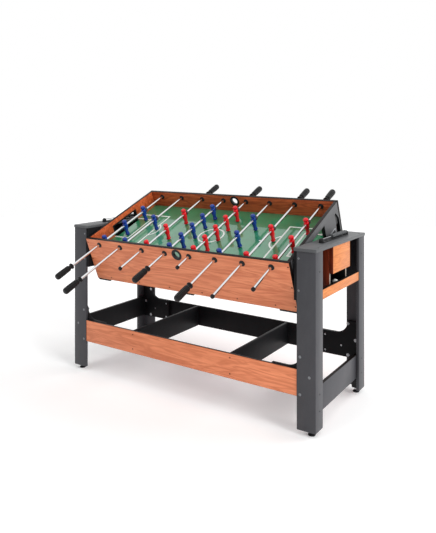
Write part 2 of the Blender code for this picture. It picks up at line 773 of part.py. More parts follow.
def levelling_foot(name, side, face, parent):
    """A pad on a screwed stem that runs up into the leg's corner block."""
    stem_top = LEG_FLOOR_GAP + FOOT_BLOCK_HEIGHT - FOOT_BLOCK_ROOF - FIT
    neck_top = LEG_FLOOR_GAP - FIT
    profile = [
        (0, 0),
        (FOOT_PAD_RADIUS, 0),
        (FOOT_PAD_RADIUS, FOOT_PAD_HEIGHT / 2),
        (FOOT_NECK_RADIUS, FOOT_PAD_HEIGHT),
        (FOOT_NECK_RADIUS, neck_top),
        (FOOT_STEM_RADIUS, neck_top),
        (FOOT_STEM_RADIUS, stem_top),
        (0, stem_top),
    ]
    foot = turned(name, profile, FOOT_SIDES, "Z")
    return placed(foot, "black_plastic", parent, (side * FOOT_X, face * FOOT_Y, 0))


def cap(name, side, parent):
    """The board that closes a pedestal's top, its upper edges eased."""
    low_x, high_x = sorted((side * (PANEL_INNER_X + OVERLAP), side * (LEG_OUTER_X + CAP_OVERHANG)))
    y = LEG_OUTER_Y + CAP_OVERHANG
    board = block(name, (low_x, -y, CAP_TOP - CAP_THICK), (high_x, y, CAP_TOP))
    level = CAP_TOP - CAP_THICK / 2
    rounded_edges(board, CAP_EDGE_ROUND, lambda edge: all(v.co.z > level for v in edge.verts))
    return placed(board, "leg_laminate", parent)


def inner_panel(name, side, parent):
    """The pedestal's inner board: pivot bore, lock bore and the notch that lets a ball through."""
    low_x, high_x = sorted((side * PANEL_INNER_X, side * PANEL_OUTER_X))
    y = LEG_OUTER_Y - PANEL_END_INSET
    board = block(name, (low_x, -y, PANEL_BOTTOM), (high_x, y, LEG_TOP))
    ends = (low_x - OVERRUN, high_x + OVERRUN)
    half = GOAL_WIDTH / 2
    notch = block("notch", (ends[0], -half, NOTCH_BOTTOM), (ends[1], half, LEG_TOP + OVERRUN))
    bore = cylinder("bore", STUB_RADIUS + FIT, *ends, ROUND_SIDES, "X", (0, 0, PIVOT_HEIGHT))
    at = (0, LOCK_OFFSET, PIVOT_HEIGHT)
    lock = cylinder("lock", LOCK_PIN_RADIUS + RUNNING_FIT, *ends, BEARING_SIDES, "X", at)
    cut(board, notch, bore, lock)
    return placed(board, "dark_board", parent)


def pivot_hub(name, side, parent):
    """A plate on the inner panel with the stub shaft that the cabinet turns on."""
    face = side * (PANEL_OUTER_X + FIT)
    back = face + side * HUB_PLATE_THICK
    low_x, high_x = sorted((face, back))
    half = HUB_PLATE_WIDTH / 2
    top = NOTCH_BOTTOM - FIT
    plate = block(
        name, (low_x, -half, PIVOT_HEIGHT - HUB_PLATE_DROP), (high_x, half, top)
    )
    tip = side * (INNER_X - STUB_BOSS_LENGTH)
    ends = (tip, face + side * OVERLAP)
    joined(plate, cylinder("stub", STUB_RADIUS, *ends, ROUND_SIDES, "X", (0, 0, PIVOT_HEIGHT)))
    return placed(plate, "plated_steel", parent)


def lock_pin(name, side, parent):
    """The sprung pin that enters the end wall's keeper hole when the cabinet is level."""
    tip = HALF_LENGTH + FIT
    collar = PANEL_OUTER_X + FIT
    knob = collar + LOCK_COLLAR_LENGTH
    end = knob + LOCK_KNOB_LENGTH
    profile = [
        (0, tip),
        (LOCK_PIN_RADIUS, tip),
        (LOCK_PIN_RADIUS, collar),
        (LOCK_COLLAR_RADIUS, collar),
        (LOCK_COLLAR_RADIUS, knob),
        (LOCK_KNOB_RADIUS, knob),
        (LOCK_KNOB_RADIUS, end),
        (0, end),
    ]
    pin = turned(name, [(radius, side * along) for radius, along in profile], BEARING_SIDES, "X")
    return placed(pin, "plated_steel", parent, (0, LOCK_OFFSET, PIVOT_HEIGHT))


def upper_end_rail(name, side, parent):
    """The rail under a ball box's hand opening."""
    low_x, high_x = sorted((side * (END_FACE_X - BOARD), side * END_FACE_X))
    y = LEG_SIDE_Y - FIT
    top = PANEL_BOTTOM + UPPER_RAIL_HEIGHT
    return placed(
        block(name, (low_x, -y, PANEL_BOTTOM), (high_x, y, top)), "cherry_laminate", parent
    )


def ball_box(name, side, parent):
    """The side walls and tray floor of a ball return box."""
    half = BOX_WIDTH / 2
    low_x, high_x = sorted((side * BOX_BACK_X, side * (BOX_FRONT_X - FIT)))
    box = block(name, (low_x, -half, PANEL_BOTTOM), (high_x, half, LEG_TOP))
    room = block(
        "room",
        (low_x - OVERRUN, -half + BOX_WALL, TRAY_TOP),
        (high_x + OVERRUN, half - BOX_WALL, LEG_TOP + OVERRUN),
    )
    under = block(
        "under",
        (low_x - OVERRUN, -half + BOX_WALL, PANEL_BOTTOM - OVERRUN),
        (high_x + OVERRUN, half - BOX_WALL, TRAY_TOP - TRAY_THICK),
    )
    cut(box, room, under)
    return placed(box, "cherry_laminate", parent)


def ball_box_front(name, side, parent):
    """The board across the upper part of a ball return box."""
    low_x, high_x = sorted((side * BOX_FRONT_X, side * END_FACE_X))
    half = BOX_WIDTH / 2
    board = block(name, (low_x, -half, LEG_TOP - BOX_FRONT_HEIGHT), (high_x, half, LEG_TOP))
    return placed(board, "cherry_laminate", parent)


def long_rail(name, face, parent):
    """A lower rail between the front plates of two legs."""
    low_y, high_y = sorted((face * LEG_INNER_Y, face * (LEG_INNER_Y + RAIL_THICK)))
    x = PANEL_OUTER_X
    low = (-x, low_y, RAIL_BOTTOM)
    high = (x, high_y, RAIL_BOTTOM + RAIL_HEIGHT)
    return placed(block(name, low, high), "cherry_laminate", parent)


def cross_board(name, side, parent):
    """An upright board between the two long rails."""
    middle = side * CROSS_BOARD_OFFSET
    y = LEG_INNER_Y - FIT
    low = (middle - BOARD / 2, -y, RAIL_BOTTOM)
    high = (middle + BOARD / 2, y, RAIL_BOTTOM + RAIL_HEIGHT)
    return placed(block(name, low, high), "dark_board", parent)


def gusset(name, side, face, parent):
    """A corner board with a hollow curve between its ledge and its post."""
    outer_x = LEG_INNER_X - FIT
    inner_x = outer_x - GUSSET_LENGTH
    post_x = outer_x - GUSSET_POST_WIDTH
    ledge = RAIL_BOTTOM + RAIL_HEIGHT + GUSSET_LEDGE
    top = RAIL_BOTTOM + GUSSET_POST_HEIGHT
    rise = top - ledge
    outline = [(outer_x, RAIL_BOTTOM), (outer_x, top)]
    for step in range(GUSSET_ARC_STEPS + 1):
        angle = pi / 2 * step / GUSSET_ARC_STEPS
        outline.append((post_x - rise * (1 - cos(angle)), top - rise * sin(angle)))
    outline += [(inner_x, ledge), (inner_x, RAIL_BOTTOM)]
    low_y, high_y = sorted((face * (LEG_INNER_Y - FIT), face * GUSSET_INNER_Y))
    board = extruded(name, [(side * x, z) for x, z in outline], "Y", low_y, high_y)
    return placed(board, "dark_board", parent)


def lower_end_rail(name, side, bottom, parent):
    """A lower rail behind the side plates of two legs."""
    outer = LEG_INNER_X - FIT
    low_x, high_x = sorted((side * (outer - BOARD), side * outer))
    y = GUSSET_INNER_Y - FIT
    low, high = (low_x, -y, bottom), (high_x, y, bottom + RAIL_HEIGHT)
    return placed(block(name, low, high), "leg_laminate", parent)


def scorer_frame(name, side, parent):
    """The base, two domed posts and rod of a scorer."""
    half = SCORER_LENGTH / 2
    base = block(
        name, (-SCORER_WIDTH / 2, -half, FIT), (SCORER_WIDTH / 2, half, SCORER_BASE_HEIGHT)
    )
    tools = []
    for end in (-1, 1):
        profile = [
            (0, SCORER_BASE_HEIGHT - OVERLAP),
            (SCORER_POST_RADIUS, SCORER_BASE_HEIGHT - OVERLAP),
            *(
                (SCORER_POST_RADIUS * wide, SCORER_POST_HEIGHT * high)
                for high, wide in SCORER_SHOULDER_SHARES
            ),
            (0, SCORER_POST_HEIGHT),
        ]
        at = (0, end * (half - SCORER_POST_RADIUS - OVERLAP), 0)
        tools.append(turned("post", profile, SCORER_SIDES, "Z", at))
    reach = half - SCORER_POST_RADIUS - OVERLAP
    at = (0, 0, SCORER_ROD_HEIGHT)
    tools.append(cylinder("bar", SCORER_ROD_RADIUS, -reach, reach, SCORER_SIDES, "Y", at))
    joined(base, *tools)
    location = (side * SCORER_X, SCORER_REAR_SHIFT, CAP_TOP)
    return placed(base, "black_plastic", parent, location)


def scorer_room():
    """Free length of a scorer's rod between its posts."""
    return SCORER_LENGTH - 4 * SCORER_POST_RADIUS - 2 * OVERLAP


def scorer_beads(name, side, parent):
    """The stack of beads, pushed to the rear of its rod."""
    length = BEAD_COUNT * BEAD_LENGTH
    rear = scorer_room() / 2 - FIT
    outside = []
    for bead in range(BEAD_COUNT):
        start = rear - length + bead * BEAD_LENGTH
        outside.append((BEAD_NECK_RADIUS, start))
        outside.append((BEAD_RADIUS, start + BEAD_LENGTH / 2))
    outside.append((BEAD_NECK_RADIUS, rear))
    bore = SCORER_ROD_RADIUS + RUNNING_FIT
    profile = [(bore, rear - length), *outside, (bore, rear)]
    stack = turned(name, profile, SCORER_SIDES, "Y")
    location = (side * SCORER_X, SCORER_REAR_SHIFT, CAP_TOP + SCORER_ROD_HEIGHT)
    return placed(stack, "grey_plastic", parent, location)


def football(parent):
    """The ball that lies in the right tray, against the upper end rail."""
    bm = bmesh.new()
    bmesh.ops.create_uvsphere(bm, u_segments=12, v_segments=8, radius=BALL_RADIUS)
    ball = object_from(bm, "football")
    x = END_FACE_X - BOARD - FIT - BALL_RADIUS
    return placed(ball, "white_plastic", parent, (x, 0, TRAY_TOP + FIT + BALL_RADIUS))


def pedestals(origin):
    """Everything that stands on the floor and doesn't turn."""
    for side, end in ((-1, "left"), (1, "right")):
        for face, row in ((-1, "front"), (1, "rear")):
            leg(f"leg_{row}_{end}", side, face, origin)
            levelling_foot(f"levelling_foot_{row}_{end}", side, face, origin)
            gusset(f"gusset_{row}_{end}", side, face, origin)
        cap(f"pedestal_cap_{end}", side, origin)
        inner_panel(f"inner_panel_{end}", side, origin)
        pivot_hub(f"pivot_hub_{end}", side, origin)
        lock_pin(f"lock_pin_{end}", side, origin)
        upper_end_rail(f"upper_end_rail_{end}", side, origin)
        ball_box(f"ball_box_{end}", side, origin)
        ball_box_front(f"ball_box_front_{end}", side, origin)
        scorer_frame(f"scorer_frame_{end}", side, origin)
        scorer_beads(f"scorer_beads_{end}", side, origin)
        cross_board(f"cross_board_{end}", side, origin)
    lower_end_rail("lower_end_rail_left", -1, END_RAIL_BOTTOM_LEFT, origin)
    lower_end_rail("lower_end_rail_right", 1, END_RAIL_BOTTOM_RIGHT, origin)
    long_rail("long_rail_front", -1, origin)
    long_rail("long_rail_rear", 1, origin)
    football(origin)


def cabinet(origin):
    """The swivelling cabinet with both games and its rods."""
    pivot = empty("cabinet_pivot", origin, (0, 0, PIVOT_HEIGHT))
    apron("apron_front", -1, pivot)
    apron("apron_rear", 1, pivot)
    end_wall("end_wall_left", -1, pivot)
    end_wall("end_wall_right", 1, pivot)
    football_field(pivot)
    pool_bed(pivot)
    pool_rim(pivot)
    for index in range(ROD_COUNT):
        rod(index, pivot)
        bumper(index, pivot)
    pivot.rotation_euler.x = radians(CABINET_TILT)


def centre_in_depth(origin):
    """Moves the table so that the middle of its depth, rods included, lies at Y zero."""
    bpy.context.view_layer.update()
    depths = [
        (thing.matrix_world @ vertex.co).y
        for thing in bpy.data.objects
        if thing.type == "MESH"
        for vertex in thing.data.vertices
    ]
    origin.location.y = -(min(depths) + max(depths)) / 2
    bpy.context.view_layer.update()


def main():
    clear_scene()
    origin = empty("table_origin")
    pedestals(origin)
    cabinet(origin)
    centre_in_depth(origin)


main()
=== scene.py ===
"""The finished look of a swivelling two-game table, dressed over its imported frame.

Lengths are in metres in the frame's axes: X along the table, Y to its rear, Z up.  Pieces of the
cabinet are modelled level about its pivot, football side up, and are then tilted with it.
"""

import json
import logging
from collections.abc import Callable, Sequence
from dataclasses import dataclass
from enum import Enum
from math import atan2, copysign, cos, pi, radians, sin, tau

import bmesh
import bpy
from bmesh.types import BMesh, BMFace, BMVert
from bpy.types import Material, Node, NodeSocket, NodeTree
from mathutils import Matrix, Vector


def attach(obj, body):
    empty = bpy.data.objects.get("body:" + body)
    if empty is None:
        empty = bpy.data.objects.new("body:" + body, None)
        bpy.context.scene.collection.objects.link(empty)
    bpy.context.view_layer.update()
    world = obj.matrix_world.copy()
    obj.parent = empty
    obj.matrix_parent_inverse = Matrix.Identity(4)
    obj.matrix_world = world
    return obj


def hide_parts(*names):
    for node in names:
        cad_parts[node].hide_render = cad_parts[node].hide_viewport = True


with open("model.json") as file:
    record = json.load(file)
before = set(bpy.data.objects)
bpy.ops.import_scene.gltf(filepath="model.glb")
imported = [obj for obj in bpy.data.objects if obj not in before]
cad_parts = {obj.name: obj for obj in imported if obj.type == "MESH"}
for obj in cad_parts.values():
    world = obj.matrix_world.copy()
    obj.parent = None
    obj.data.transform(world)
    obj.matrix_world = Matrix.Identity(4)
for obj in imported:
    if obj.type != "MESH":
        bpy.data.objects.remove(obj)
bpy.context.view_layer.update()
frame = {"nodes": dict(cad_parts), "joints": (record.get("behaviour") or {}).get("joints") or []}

log = logging.getLogger("games_table")

Point = Sequence[float]
Outline = Sequence[tuple[float, float]]
Sides = dict[str, int]

MM = 0.001
# Vertices nearer than this are one
WELD = 0.000001
# Edges sharper than this stay sharp when shaded
SHARP_ANGLE = radians(32)
# Gap between pieces that touch, so that no two faces lie in one plane
FIT = 0.0003
# How far a piece is sunk into the one that it is fixed to, or a cut runs past a face
SUNK = 0.001
OVERRUN = 0.004


def joint(name: str) -> dict:
    """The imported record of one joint: its axis, place and range."""
    return next(entry for entry in frame["joints"] if entry["name"] == name)


PIVOT = Vector(joint("cabinet_swivel")["pos_m"])
SLIDE_AXIS = Vector(joint("rod_1_slide")["axis"])
TILT = atan2(SLIDE_AXIS.z, SLIDE_AXIS.y)


@dataclass(frozen=True)
class Carrier:
    """A body of the table, with the place at rest of what is modelled about its own axes."""

    body: str
    place: Matrix


CABINET = Carrier("cabinet", Matrix.Translation(PIVOT) @ Matrix.Rotation(TILT, 4, "X"))
FRAME = Carrier("pedestal_frame", Matrix.Translation((0, PIVOT.y, 0)))


class Side(Enum):
    """A side of the table; its value is the sign of that side on its axis."""

    def __str__(self) -> str:
        """The side's word in the names of pieces."""
        return self.name.lower()

    def faces(self, outward: int, inward: int) -> Sides:
        """The finishes of the two faces of a board that look out at this side and back."""
        axis = "X" if isinstance(self, End) else "Y"
        plus, minus = (outward, inward) if self.value > 0 else (inward, outward)
        return {f"+{axis}": plus, f"-{axis}": minus}


class End(Side):
    """A short side, along X."""

    LEFT = -1
    RIGHT = 1


class Row(Side):
    """A long side, along Y."""

    FRONT = -1
    REAR = 1


class Axis(Enum):
    """A frame axis, with the turn that takes Z to it."""

    X = Matrix(((0, 0, 1, 0), (1, 0, 0, 0), (0, 1, 0, 0), (0, 0, 0, 1)))
    Y = Matrix(((1, 0, 0, 0), (0, 0, 1, 0), (0, -1, 0, 0), (0, 0, 0, 1)))
    Z = Matrix.Identity(4)

    def lift(self, across: float, up: float, along: float) -> tuple[float, float, float]:
        """A point from its two places across the axis, in the frame's order, and one along it."""
        if self is Axis.X:
            return along, across, up
        if self is Axis.Y:
            return across, along, up
        return across, up, along


# Finishes


def linear(code: str) -> tuple[float, float, float, float]:
    """Turns an sRGB hex colour to the linear values that Blender's sockets take.

    Args:
        code: a colour such as "#d98560".

    Returns:
        Linear red, green and blue, and an alpha of 1.
    """
    parts = [int(code[k : k + 2], 16) / 255 for k in (1, 3, 5)]
    return (*(v / 12.92 if v <= 0.04045 else ((v + 0.055) / 1.055) ** 2.4 for v in parts), 1.0)


def fill(node: Node, values: dict) -> None:
    """Gives constants to a node's sockets, keyed by input socket name or number."""
    for key, value in values.items():
        node.inputs[key].default_value = value


def add_node(
    tree: NodeTree, kind: str, values: dict | None = None, links: dict | None = None, **settings: object
) -> Node:
    """Adds a node with its settings, socket values and links.

    Args:
        tree: the material's node tree.
        kind: the node's Blender type.
        values: constants, keyed by input socket name or number.
        links: output sockets to link from, keyed by input socket name or number.
        **settings: the node's own properties.

    Returns:
        The new node.
    """
    node = tree.nodes.new(kind)
    for key, value in settings.items():
        setattr(node, key, value)
    fill(node, values or {})
    for key, source in (links or {}).items():
        tree.links.new(source, node.inputs[key])
    return node


MIX_A, MIX_B, MIX_RESULT = 6, 7, 2


@dataclass(frozen=True)
class Layer:
    """A pattern that is turned to a share: how much of something shows at two of its values."""

    pattern: NodeSocket
    values: tuple[float, float] = ()
    shares: tuple[float, float] = (0.0, 1.0)
    smooth: bool = False

    def share(self, tree: NodeTree) -> NodeSocket:
        """The share as a socket, which is the pattern itself where no values are given."""
        if not self.values:
            return self.pattern
        ends = zip(("From Min", "From Max", "To Min", "To Max"), (*self.values, *self.shares))
        blend = "SMOOTHSTEP" if self.smooth else "LINEAR"
        links = {"Value": self.pattern}
        mapped = add_node(tree, "ShaderNodeMapRange", dict(ends), links, interpolation_type=blend)
        return mapped.outputs["Result"]


@dataclass(frozen=True)
class Finish:
    """What every finish has: a name, a main colour, how rough it is, and its pattern's shade."""

    name: str
    colour: str
    roughness: float
    shade: str = "#000000"

    def material(self) -> Material:
        """The finish as a material, made on its first use."""
        found = bpy.data.materials.get(self.name)
        if found:
            return found
        made = bpy.data.materials.new(self.name)
        made.use_nodes = True
        shader = made.node_tree.nodes["Principled BSDF"]
        fill(shader, {"Base Color": linear(self.colour), "Roughness": self.roughness})
        self.paint(made.node_tree, shader)
        return made

    def paint(self, tree: NodeTree, shader: Node) -> None:
        """Adds the finish's pattern to its shader."""
        raise NotImplementedError

    @staticmethod
    def pattern(
        tree: NodeTree, size_mm: Point, values: dict, kind: str = "ShaderNodeTexNoise", **settings: object
    ) -> Node:
        """A texture on the piece's own coordinates, stretched to a real size.

        Args:
            tree: the material's node tree.
            size_mm: the pattern's size along each axis, in millimetres.
            values: the texture's constants.
            kind: the texture node's type.
            **settings: the texture's properties.

        Returns:
            The texture node.
        """
        place = add_node(tree, "ShaderNodeTexCoord").outputs["Object"]
        scale = {"Scale": [1 / (size * MM) for size in size_mm]}
        stretch = add_node(tree, "ShaderNodeMapping", scale, {"Vector": place})
        links = {"Vector": stretch.outputs["Vector"]}
        return add_node(tree, kind, {"Scale": 1.0, **values}, links, **settings)

    def tone(self, tree: NodeTree, shader: Node, *layers: Layer) -> None:
        """Mixes the shade into the main colour, one layer after the other.

        Args:
            tree: the material's node tree.
            shader: its shader.
            *layers: where the shade shows, and how much of it.
        """
        tones = {MIX_A: linear(self.colour), MIX_B: linear(self.shade)}
        links = {}
        for layer in layers:
            links[0] = layer.share(tree)
            mix = add_node(tree, "ShaderNodeMix", tones, links, data_type="RGBA")
            links[MIX_A] = mix.outputs[MIX_RESULT]
        tree.links.new(links[MIX_A], shader.inputs["Base Color"])

    @staticmethod
    def emboss(tree: NodeTree, shader: Node, height: NodeSocket, depth: float, strength: float) -> None:
        """Gives the shader a bump of that depth in metres."""
        values = {"Strength": strength, "Distance": depth}
        bump = add_node(tree, "ShaderNodeBump", values, {"Height": height})
        tree.links.new(bump.outputs["Normal"], shader.inputs["Normal"])


class Grain(Enum):
    """Which way a board's printed grain runs, as its stretch along X, Y and Z."""

    LONG = (1, 0, 0)
    DEEP = (0, 1, 0)
    TALL = (0, 0, 1)

    def size(self, along: float, across: float) -> list[float]:
        """The pattern's size on each axis, in millimetres."""
        return [along if share else across for share in self.value]


@dataclass(frozen=True)
class WoodFoil(Finish):
    """Chipboard under a printed cherry foil: satin, flat, with dark growth lines and fine pores."""

    grain: Grain = Grain.LONG
    figure_mm: tuple[float, float] = (420.0, 46.0)
    cloud_mm: tuple[float, float] = (260.0, 22.0)
    # Printed pores are 0.4 mm apart, too fine to show, so they are drawn four times as coarse
    pore_mm: tuple[float, float] = (60.0, 1.6)
    growth_lines: float = 7.0
    line_share: float = 0.5

    def paint(self, tree: NodeTree, shader: Node) -> None:
        """Darkens broad clouds, then the growth lines, which are folds of a figure, then pores."""
        size = self.grain.size(*self.figure_mm)
        figure = self.pattern(tree, size, {"Detail": 3.0, "Roughness": 0.5, "Distortion": 0.5}).outputs[0]
        for amount, step in ((self.growth_lines, "MULTIPLY"), (0.5, "PINGPONG")):
            folded = add_node(tree, "ShaderNodeMath", {1: amount}, {0: figure}, operation=step)
            figure = folded.outputs["Value"]
        rough = {"Detail": 2.0, "Roughness": 0.6}
        pores = self.pattern(tree, self.grain.size(*self.pore_mm), rough).outputs[0]
        rough = {"Detail": 4.0, "Roughness": 0.6}
        cloud = self.pattern(tree, self.grain.size(*self.cloud_mm), rough).outputs[0]
        self.tone(
            tree,
            shader,
            Layer(cloud, (0.35, 0.7), (0.0, 0.55)),
            Layer(figure, (0.0, 0.42), (self.line_share, 0.0), smooth=True),
            Layer(pores, (0.5, 0.75), (0.0, 0.45)),
        )
        fill(shader, {"Specular IOR Level": 0.25})
        self.emboss(tree, shader, pores, 0.06 * MM, 0.35)


@dataclass(frozen=True)
class Laminate(Finish):
    """Melamine-faced board, pressed with a fine leathery grain that breaks up its highlights."""

    # The pressed grain is 0.5 mm wide, too fine to show, so it is drawn four times as coarse
    grain_mm: float = 2.2
    shine: float = 0.3

    def paint(self, tree: NodeTree, shader: Node) -> None:
        """Flecks the colour faintly and embosses the pressed grain."""
        values = {"Detail": 3.0, "Roughness": 0.65}
        cells = self.pattern(tree, (self.grain_mm,) * 3, values).outputs[0]
        cloud = self.pattern(tree, (38.0, 38.0, 90.0), {"Detail": 2.0, "Roughness": 0.5})
        links = {0: cells, 1: cloud.outputs[0]}
        fleck = add_node(tree, "ShaderNodeMath", links=links, operation="MULTIPLY")
        self.tone(tree, shader, Layer(fleck.outputs["Value"], (0.12, 0.42), (0.0, 0.5)))
        fill(shader, {"Specular IOR Level": self.shine})
        self.emboss(tree, shader, cells, 0.12 * MM, 0.3)


@dataclass(frozen=True)
class PrintedBoard(Finish):
    """Hardboard printed green under clear lacquer: it mirrors the walls and players softly."""

    def paint(self, tree: NodeTree, shader: Node) -> None:
        """Lays a clear coat over ink that is uneven by a few per cent."""
        ink = self.pattern(tree, (150.0, 90.0, 90.0), {"Detail": 5.0, "Roughness": 0.6})
        self.tone(tree, shader, Layer(ink.outputs[0]))
        fill(shader, {"Coat Weight": 1.0, "Coat IOR": 1.75, "Coat Roughness": 0.04})
        peel = self.pattern(tree, (9.0, 9.0, 9.0), {"Detail": 1.0, "Roughness": 0.4})
        self.emboss(tree, shader, peel.outputs[0], 0.1 * MM, 0.08)


@dataclass(frozen=True)
class Cloth(Finish):
    """Brushed polyester pool cloth: matt, with a nap that lightens it at grazing angles."""

    # The real threads are 0.4 mm apart, too fine to show, so they are drawn six times as coarse
    thread_mm: float = 2.4
    bloom: str = "#f08a9c"

    def paint(self, tree: NodeTree, shader: Node) -> None:
        """Crosses two sets of threads and clouds the nap."""
        size, values = (self.thread_mm * pi,) * 3, {"Distortion": 0.6, "Detail": 1.0}
        kind = "ShaderNodeTexWave"
        threads = [self.pattern(tree, size, values, kind, bands_direction=way) for way in ("X", "Y")]
        links = {k: thread.outputs[1] for k, thread in enumerate(threads)}
        weave = add_node(tree, "ShaderNodeMath", links=links, operation="MAXIMUM")
        nap = self.pattern(tree, (45.0, 30.0, 30.0), {"Detail": 6.0, "Roughness": 0.7})
        self.tone(tree, shader, Layer(nap.outputs[0]))
        fill(shader, {"Sheen Weight": 0.5, "Sheen Roughness": 0.5, "Sheen Tint": linear(self.bloom)})
        self.emboss(tree, shader, weave.outputs["Value"], 0.2 * MM, 0.4)


@dataclass(frozen=True)
class Moulded(Finish):
    """Injection-moulded plastic or rubber: one colour, flow-clouded, with a fine mould texture."""

    # Eroded moulds leave pits of 0.1 mm, too fine to show, so they are drawn ten times as coarse
    texture_mm: float = 1.2
    texture_depth: float = 0.03 * MM
    shine: float = 0.5

    def paint(self, tree: NodeTree, shader: Node) -> None:
        """Clouds the colour by a few per cent and stipples the surface."""
        cloud = self.pattern(tree, (14.0, 14.0, 14.0), {"Detail": 3.0, "Roughness": 0.5})
        self.tone(tree, shader, Layer(cloud.outputs[0], (0.3, 0.8), (0.0, 0.3)))
        fill(shader, {"Specular IOR Level": self.shine})
        stipple = self.pattern(tree, (self.texture_mm,) * 3, {"Detail": 2.0, "Roughness": 0.5})
        self.emboss(tree, shader, stipple.outputs[0], self.texture_depth, 0.5)


@dataclass(frozen=True)
class Plated(Finish):
    """Plated steel: a mirror broken only by the polishing lines of the tube beneath."""

    # Polishing lines are 0.1 mm apart, too fine to show, so they are drawn 15 times as coarse
    line_mm: tuple[float, float, float] = (1.5, 60.0, 1.5)
    # Tint of reflections at grazing angles; where it is dark, it paints a darker reflection at the rims
    glancing: str = "#ffffff"

    def paint(self, tree: NodeTree, shader: Node) -> None:
        """Makes it metal, tints the reflection at its rims, and varies its roughness along the polishing
        lines.
        """
        fill(shader, {"Metallic": 1.0, "Specular Tint": linear(self.glancing)})
        lines = self.pattern(tree, self.line_mm, {"Detail": 3.0, "Roughness": 0.6}).outputs[0]
        rough = Layer(lines, (0.3, 0.7), (self.roughness * 0.7, self.roughness * 1.4))
        tree.links.new(rough.share(tree), shader.inputs["Roughness"])


TURNED_MM = (3.0, 3.0, 3.0)

# Cherry-print foil on chipboard, pressed: warm pink-brown boards with dark growth lines
CHERRY_OUTSIDE = WoodFoil("cherry_foil_outside", "#e8936a", 0.42, "#b8603f")
# The same foil on the walls' insides, darker and redder: partly a darker print, partly painted shade of
# the cabinet's inside; a red-brown frame round the field
CHERRY_INSIDE_PRINT_AND_SHADE = WoodFoil("cherry_foil_inside", "#d0683b", 0.4, "#7c2f16")
# The same foil on the long lower rails, a shade lighter than the aprons
CHERRY_RAIL = WoodFoil("cherry_foil_rail", "#e68f66", 0.42, "#b4603c")
# Light cherry foil on the short side, its grain from front to rear: yellower than the aprons
CHERRY_END = WoodFoil("cherry_foil_end", "#d4874e", 0.42, "#a95c2c", Grain.DEEP, (260.0, 30.0))
# Cherry foil on the ball box's walls, its grain upright, darkened to deep brown: painted shade of the
# recess that they stand in
CHERRY_WALL_PAINTED_SHADE = WoodFoil("brown_foil", "#7c2f16", 0.45, "#3c1006", Grain.TALL)
# Melamine-faced chipboard, pressed with a leather grain: charcoal that hardly shines
LEG_FOIL = Laminate("charcoal_laminate", "#39393d", 0.42, "#46464a")
# The same melamine in a lighter charcoal, painted light of the caps' lit tops, so that the caps stand off
# from the legs
CAP_FOIL_PAINTED_LIGHT = Laminate("charcoal_cap_laminate", "#4c4d4f", 0.42, "#5c5d5f")
# Black melamine with a dull face: rails and boards that take nearly no light
BLACK_BOARD = Laminate("black_melamine", "#111113", 0.5, "#1b1b1d", shine=0.12)
# Grey melamine on the cabinet's end walls: lighter than the legs, satin
END_FOIL = Laminate("grey_laminate", "#48484a", 0.42, "#565658")
# Black edge band, ironed on: a thin dark outline round the boards
EDGE_BAND = Moulded("black_edge_band", "#181210", 0.45, "#0c0a0a", texture_mm=3.0, shine=0.15)
# Bare chipboard edge, sealed: the pale speckled rim of a slot
PALE_EDGE = Moulded("pale_edge_band", "#938a80", 0.5, "#6f675e", texture_mm=3.0)
# Green-printed hardboard under gloss lacquer: players and walls mirror in it
FIELD_GREEN = PrintedBoard("lacquered_green_board", "#2e9766", 0.35, "#227650")
# White screen-printed ink: crisp lines, a little greener where they are thin
LINE_WHITE = Moulded("white_line_ink", "#f4f8f4", 0.35, "#d4e0d6", texture_mm=4.0)
# Brushed polyester cloth, woven: flat crimson with a pale bloom at its noses
POOL_CLOTH_RED = Cloth("red_pool_cloth", "#b80a32", 0.95, "#8a0420")
# Bare hardboard, pressed: the brown, matt back of the pool slab
HARDBOARD = Laminate("brown_hardboard", "#5a4030", 0.7, "#6d5140", grain_mm=1.4)
# ABS, moulded: near black with a soft sheen, on rings, cups, castings and feet
BLACK_ABS = Moulded("black_abs", "#18181a", 0.32, "#0a0a0c", shine=0.25)
# ABS, moulded with flutes: blacker than the rings, lit along its ribs
GRIP_BLACK = Moulded("black_grip_plastic", "#0c0c0d", 0.34, "#050506", texture_mm=0.8, shine=0.22)
# Polystyrene, moulded: mid grey beads with round, bright shoulders
GREY_BEAD = Moulded("grey_bead_plastic", "#4c4e50", 0.35, "#2e3032")
# Polystyrene, moulded glossy: strong red players with small highlights
RED_PLASTIC = Moulded("red_player_plastic", "#dc0c1e", 0.22, "#a80816", texture_mm=2.5)
# Polystyrene, moulded glossy: deep blue players with small highlights
BLUE_PLASTIC = Moulded("blue_player_plastic", "#02348c", 0.2, "#021f62", texture_mm=2.5)
# Rubber, moulded: dull black bumpers with no highlight
RUBBER = Moulded("black_rubber", "#181818", 0.75, "#0a0a0a", texture_depth=0.08 * MM)
# Hard plastic, moulded: an off-white ball
BALL_WHITE = Moulded("white_ball_plastic", "#f0efe9", 0.3, "#d6d4ca")
# Chromed steel tube, polished: bright rods, whose dark rim tint paints a darker reflection at their rims
CHROME = Plated("chromed_tube", "#eceef0", 0.07, glancing="#6c6460")
# Zinc-plated steel, turned: pale grey nuts, hubs and pins
ZINC = Plated("zinc_plated_steel", "#b9bcc0", 0.3, line_mm=TURNED_MM)
# Zinc-plated steel, tumbled: grey bolt heads on the legs
DULL_ZINC = Plated("dull_zinc_plated_steel", "#85878a", 0.45, line_mm=TURNED_MM)
# Blackened steel, turned: screws that read as dark dots on the foil
BLACK_STEEL = Plated("blackened_steel", "#1c1c1e", 0.4, line_mm=TURNED_MM)


# Shapes


def bevel(
    part: BMesh, chosen: list, width: float, segments: int = 2, what: str = "EDGES"
) -> list[BMFace]:
    """Bevels edges, or vertices.

    Args:
        part: the shape.
        chosen: the edges or vertices.
        width: the bevel's offset.
        segments: how many steps round it goes.
        what: "EDGES" or "VERTICES".

    Returns:
        The faces of the bevel.
    """
    made = bmesh.ops.bevel(
        part,
        geom=chosen,
        offset=width,
        segments=segments,
        profile=0.5,
        affect=what,
        material=-1,
        clamp_overlap=True,
    )
    return made["faces"]


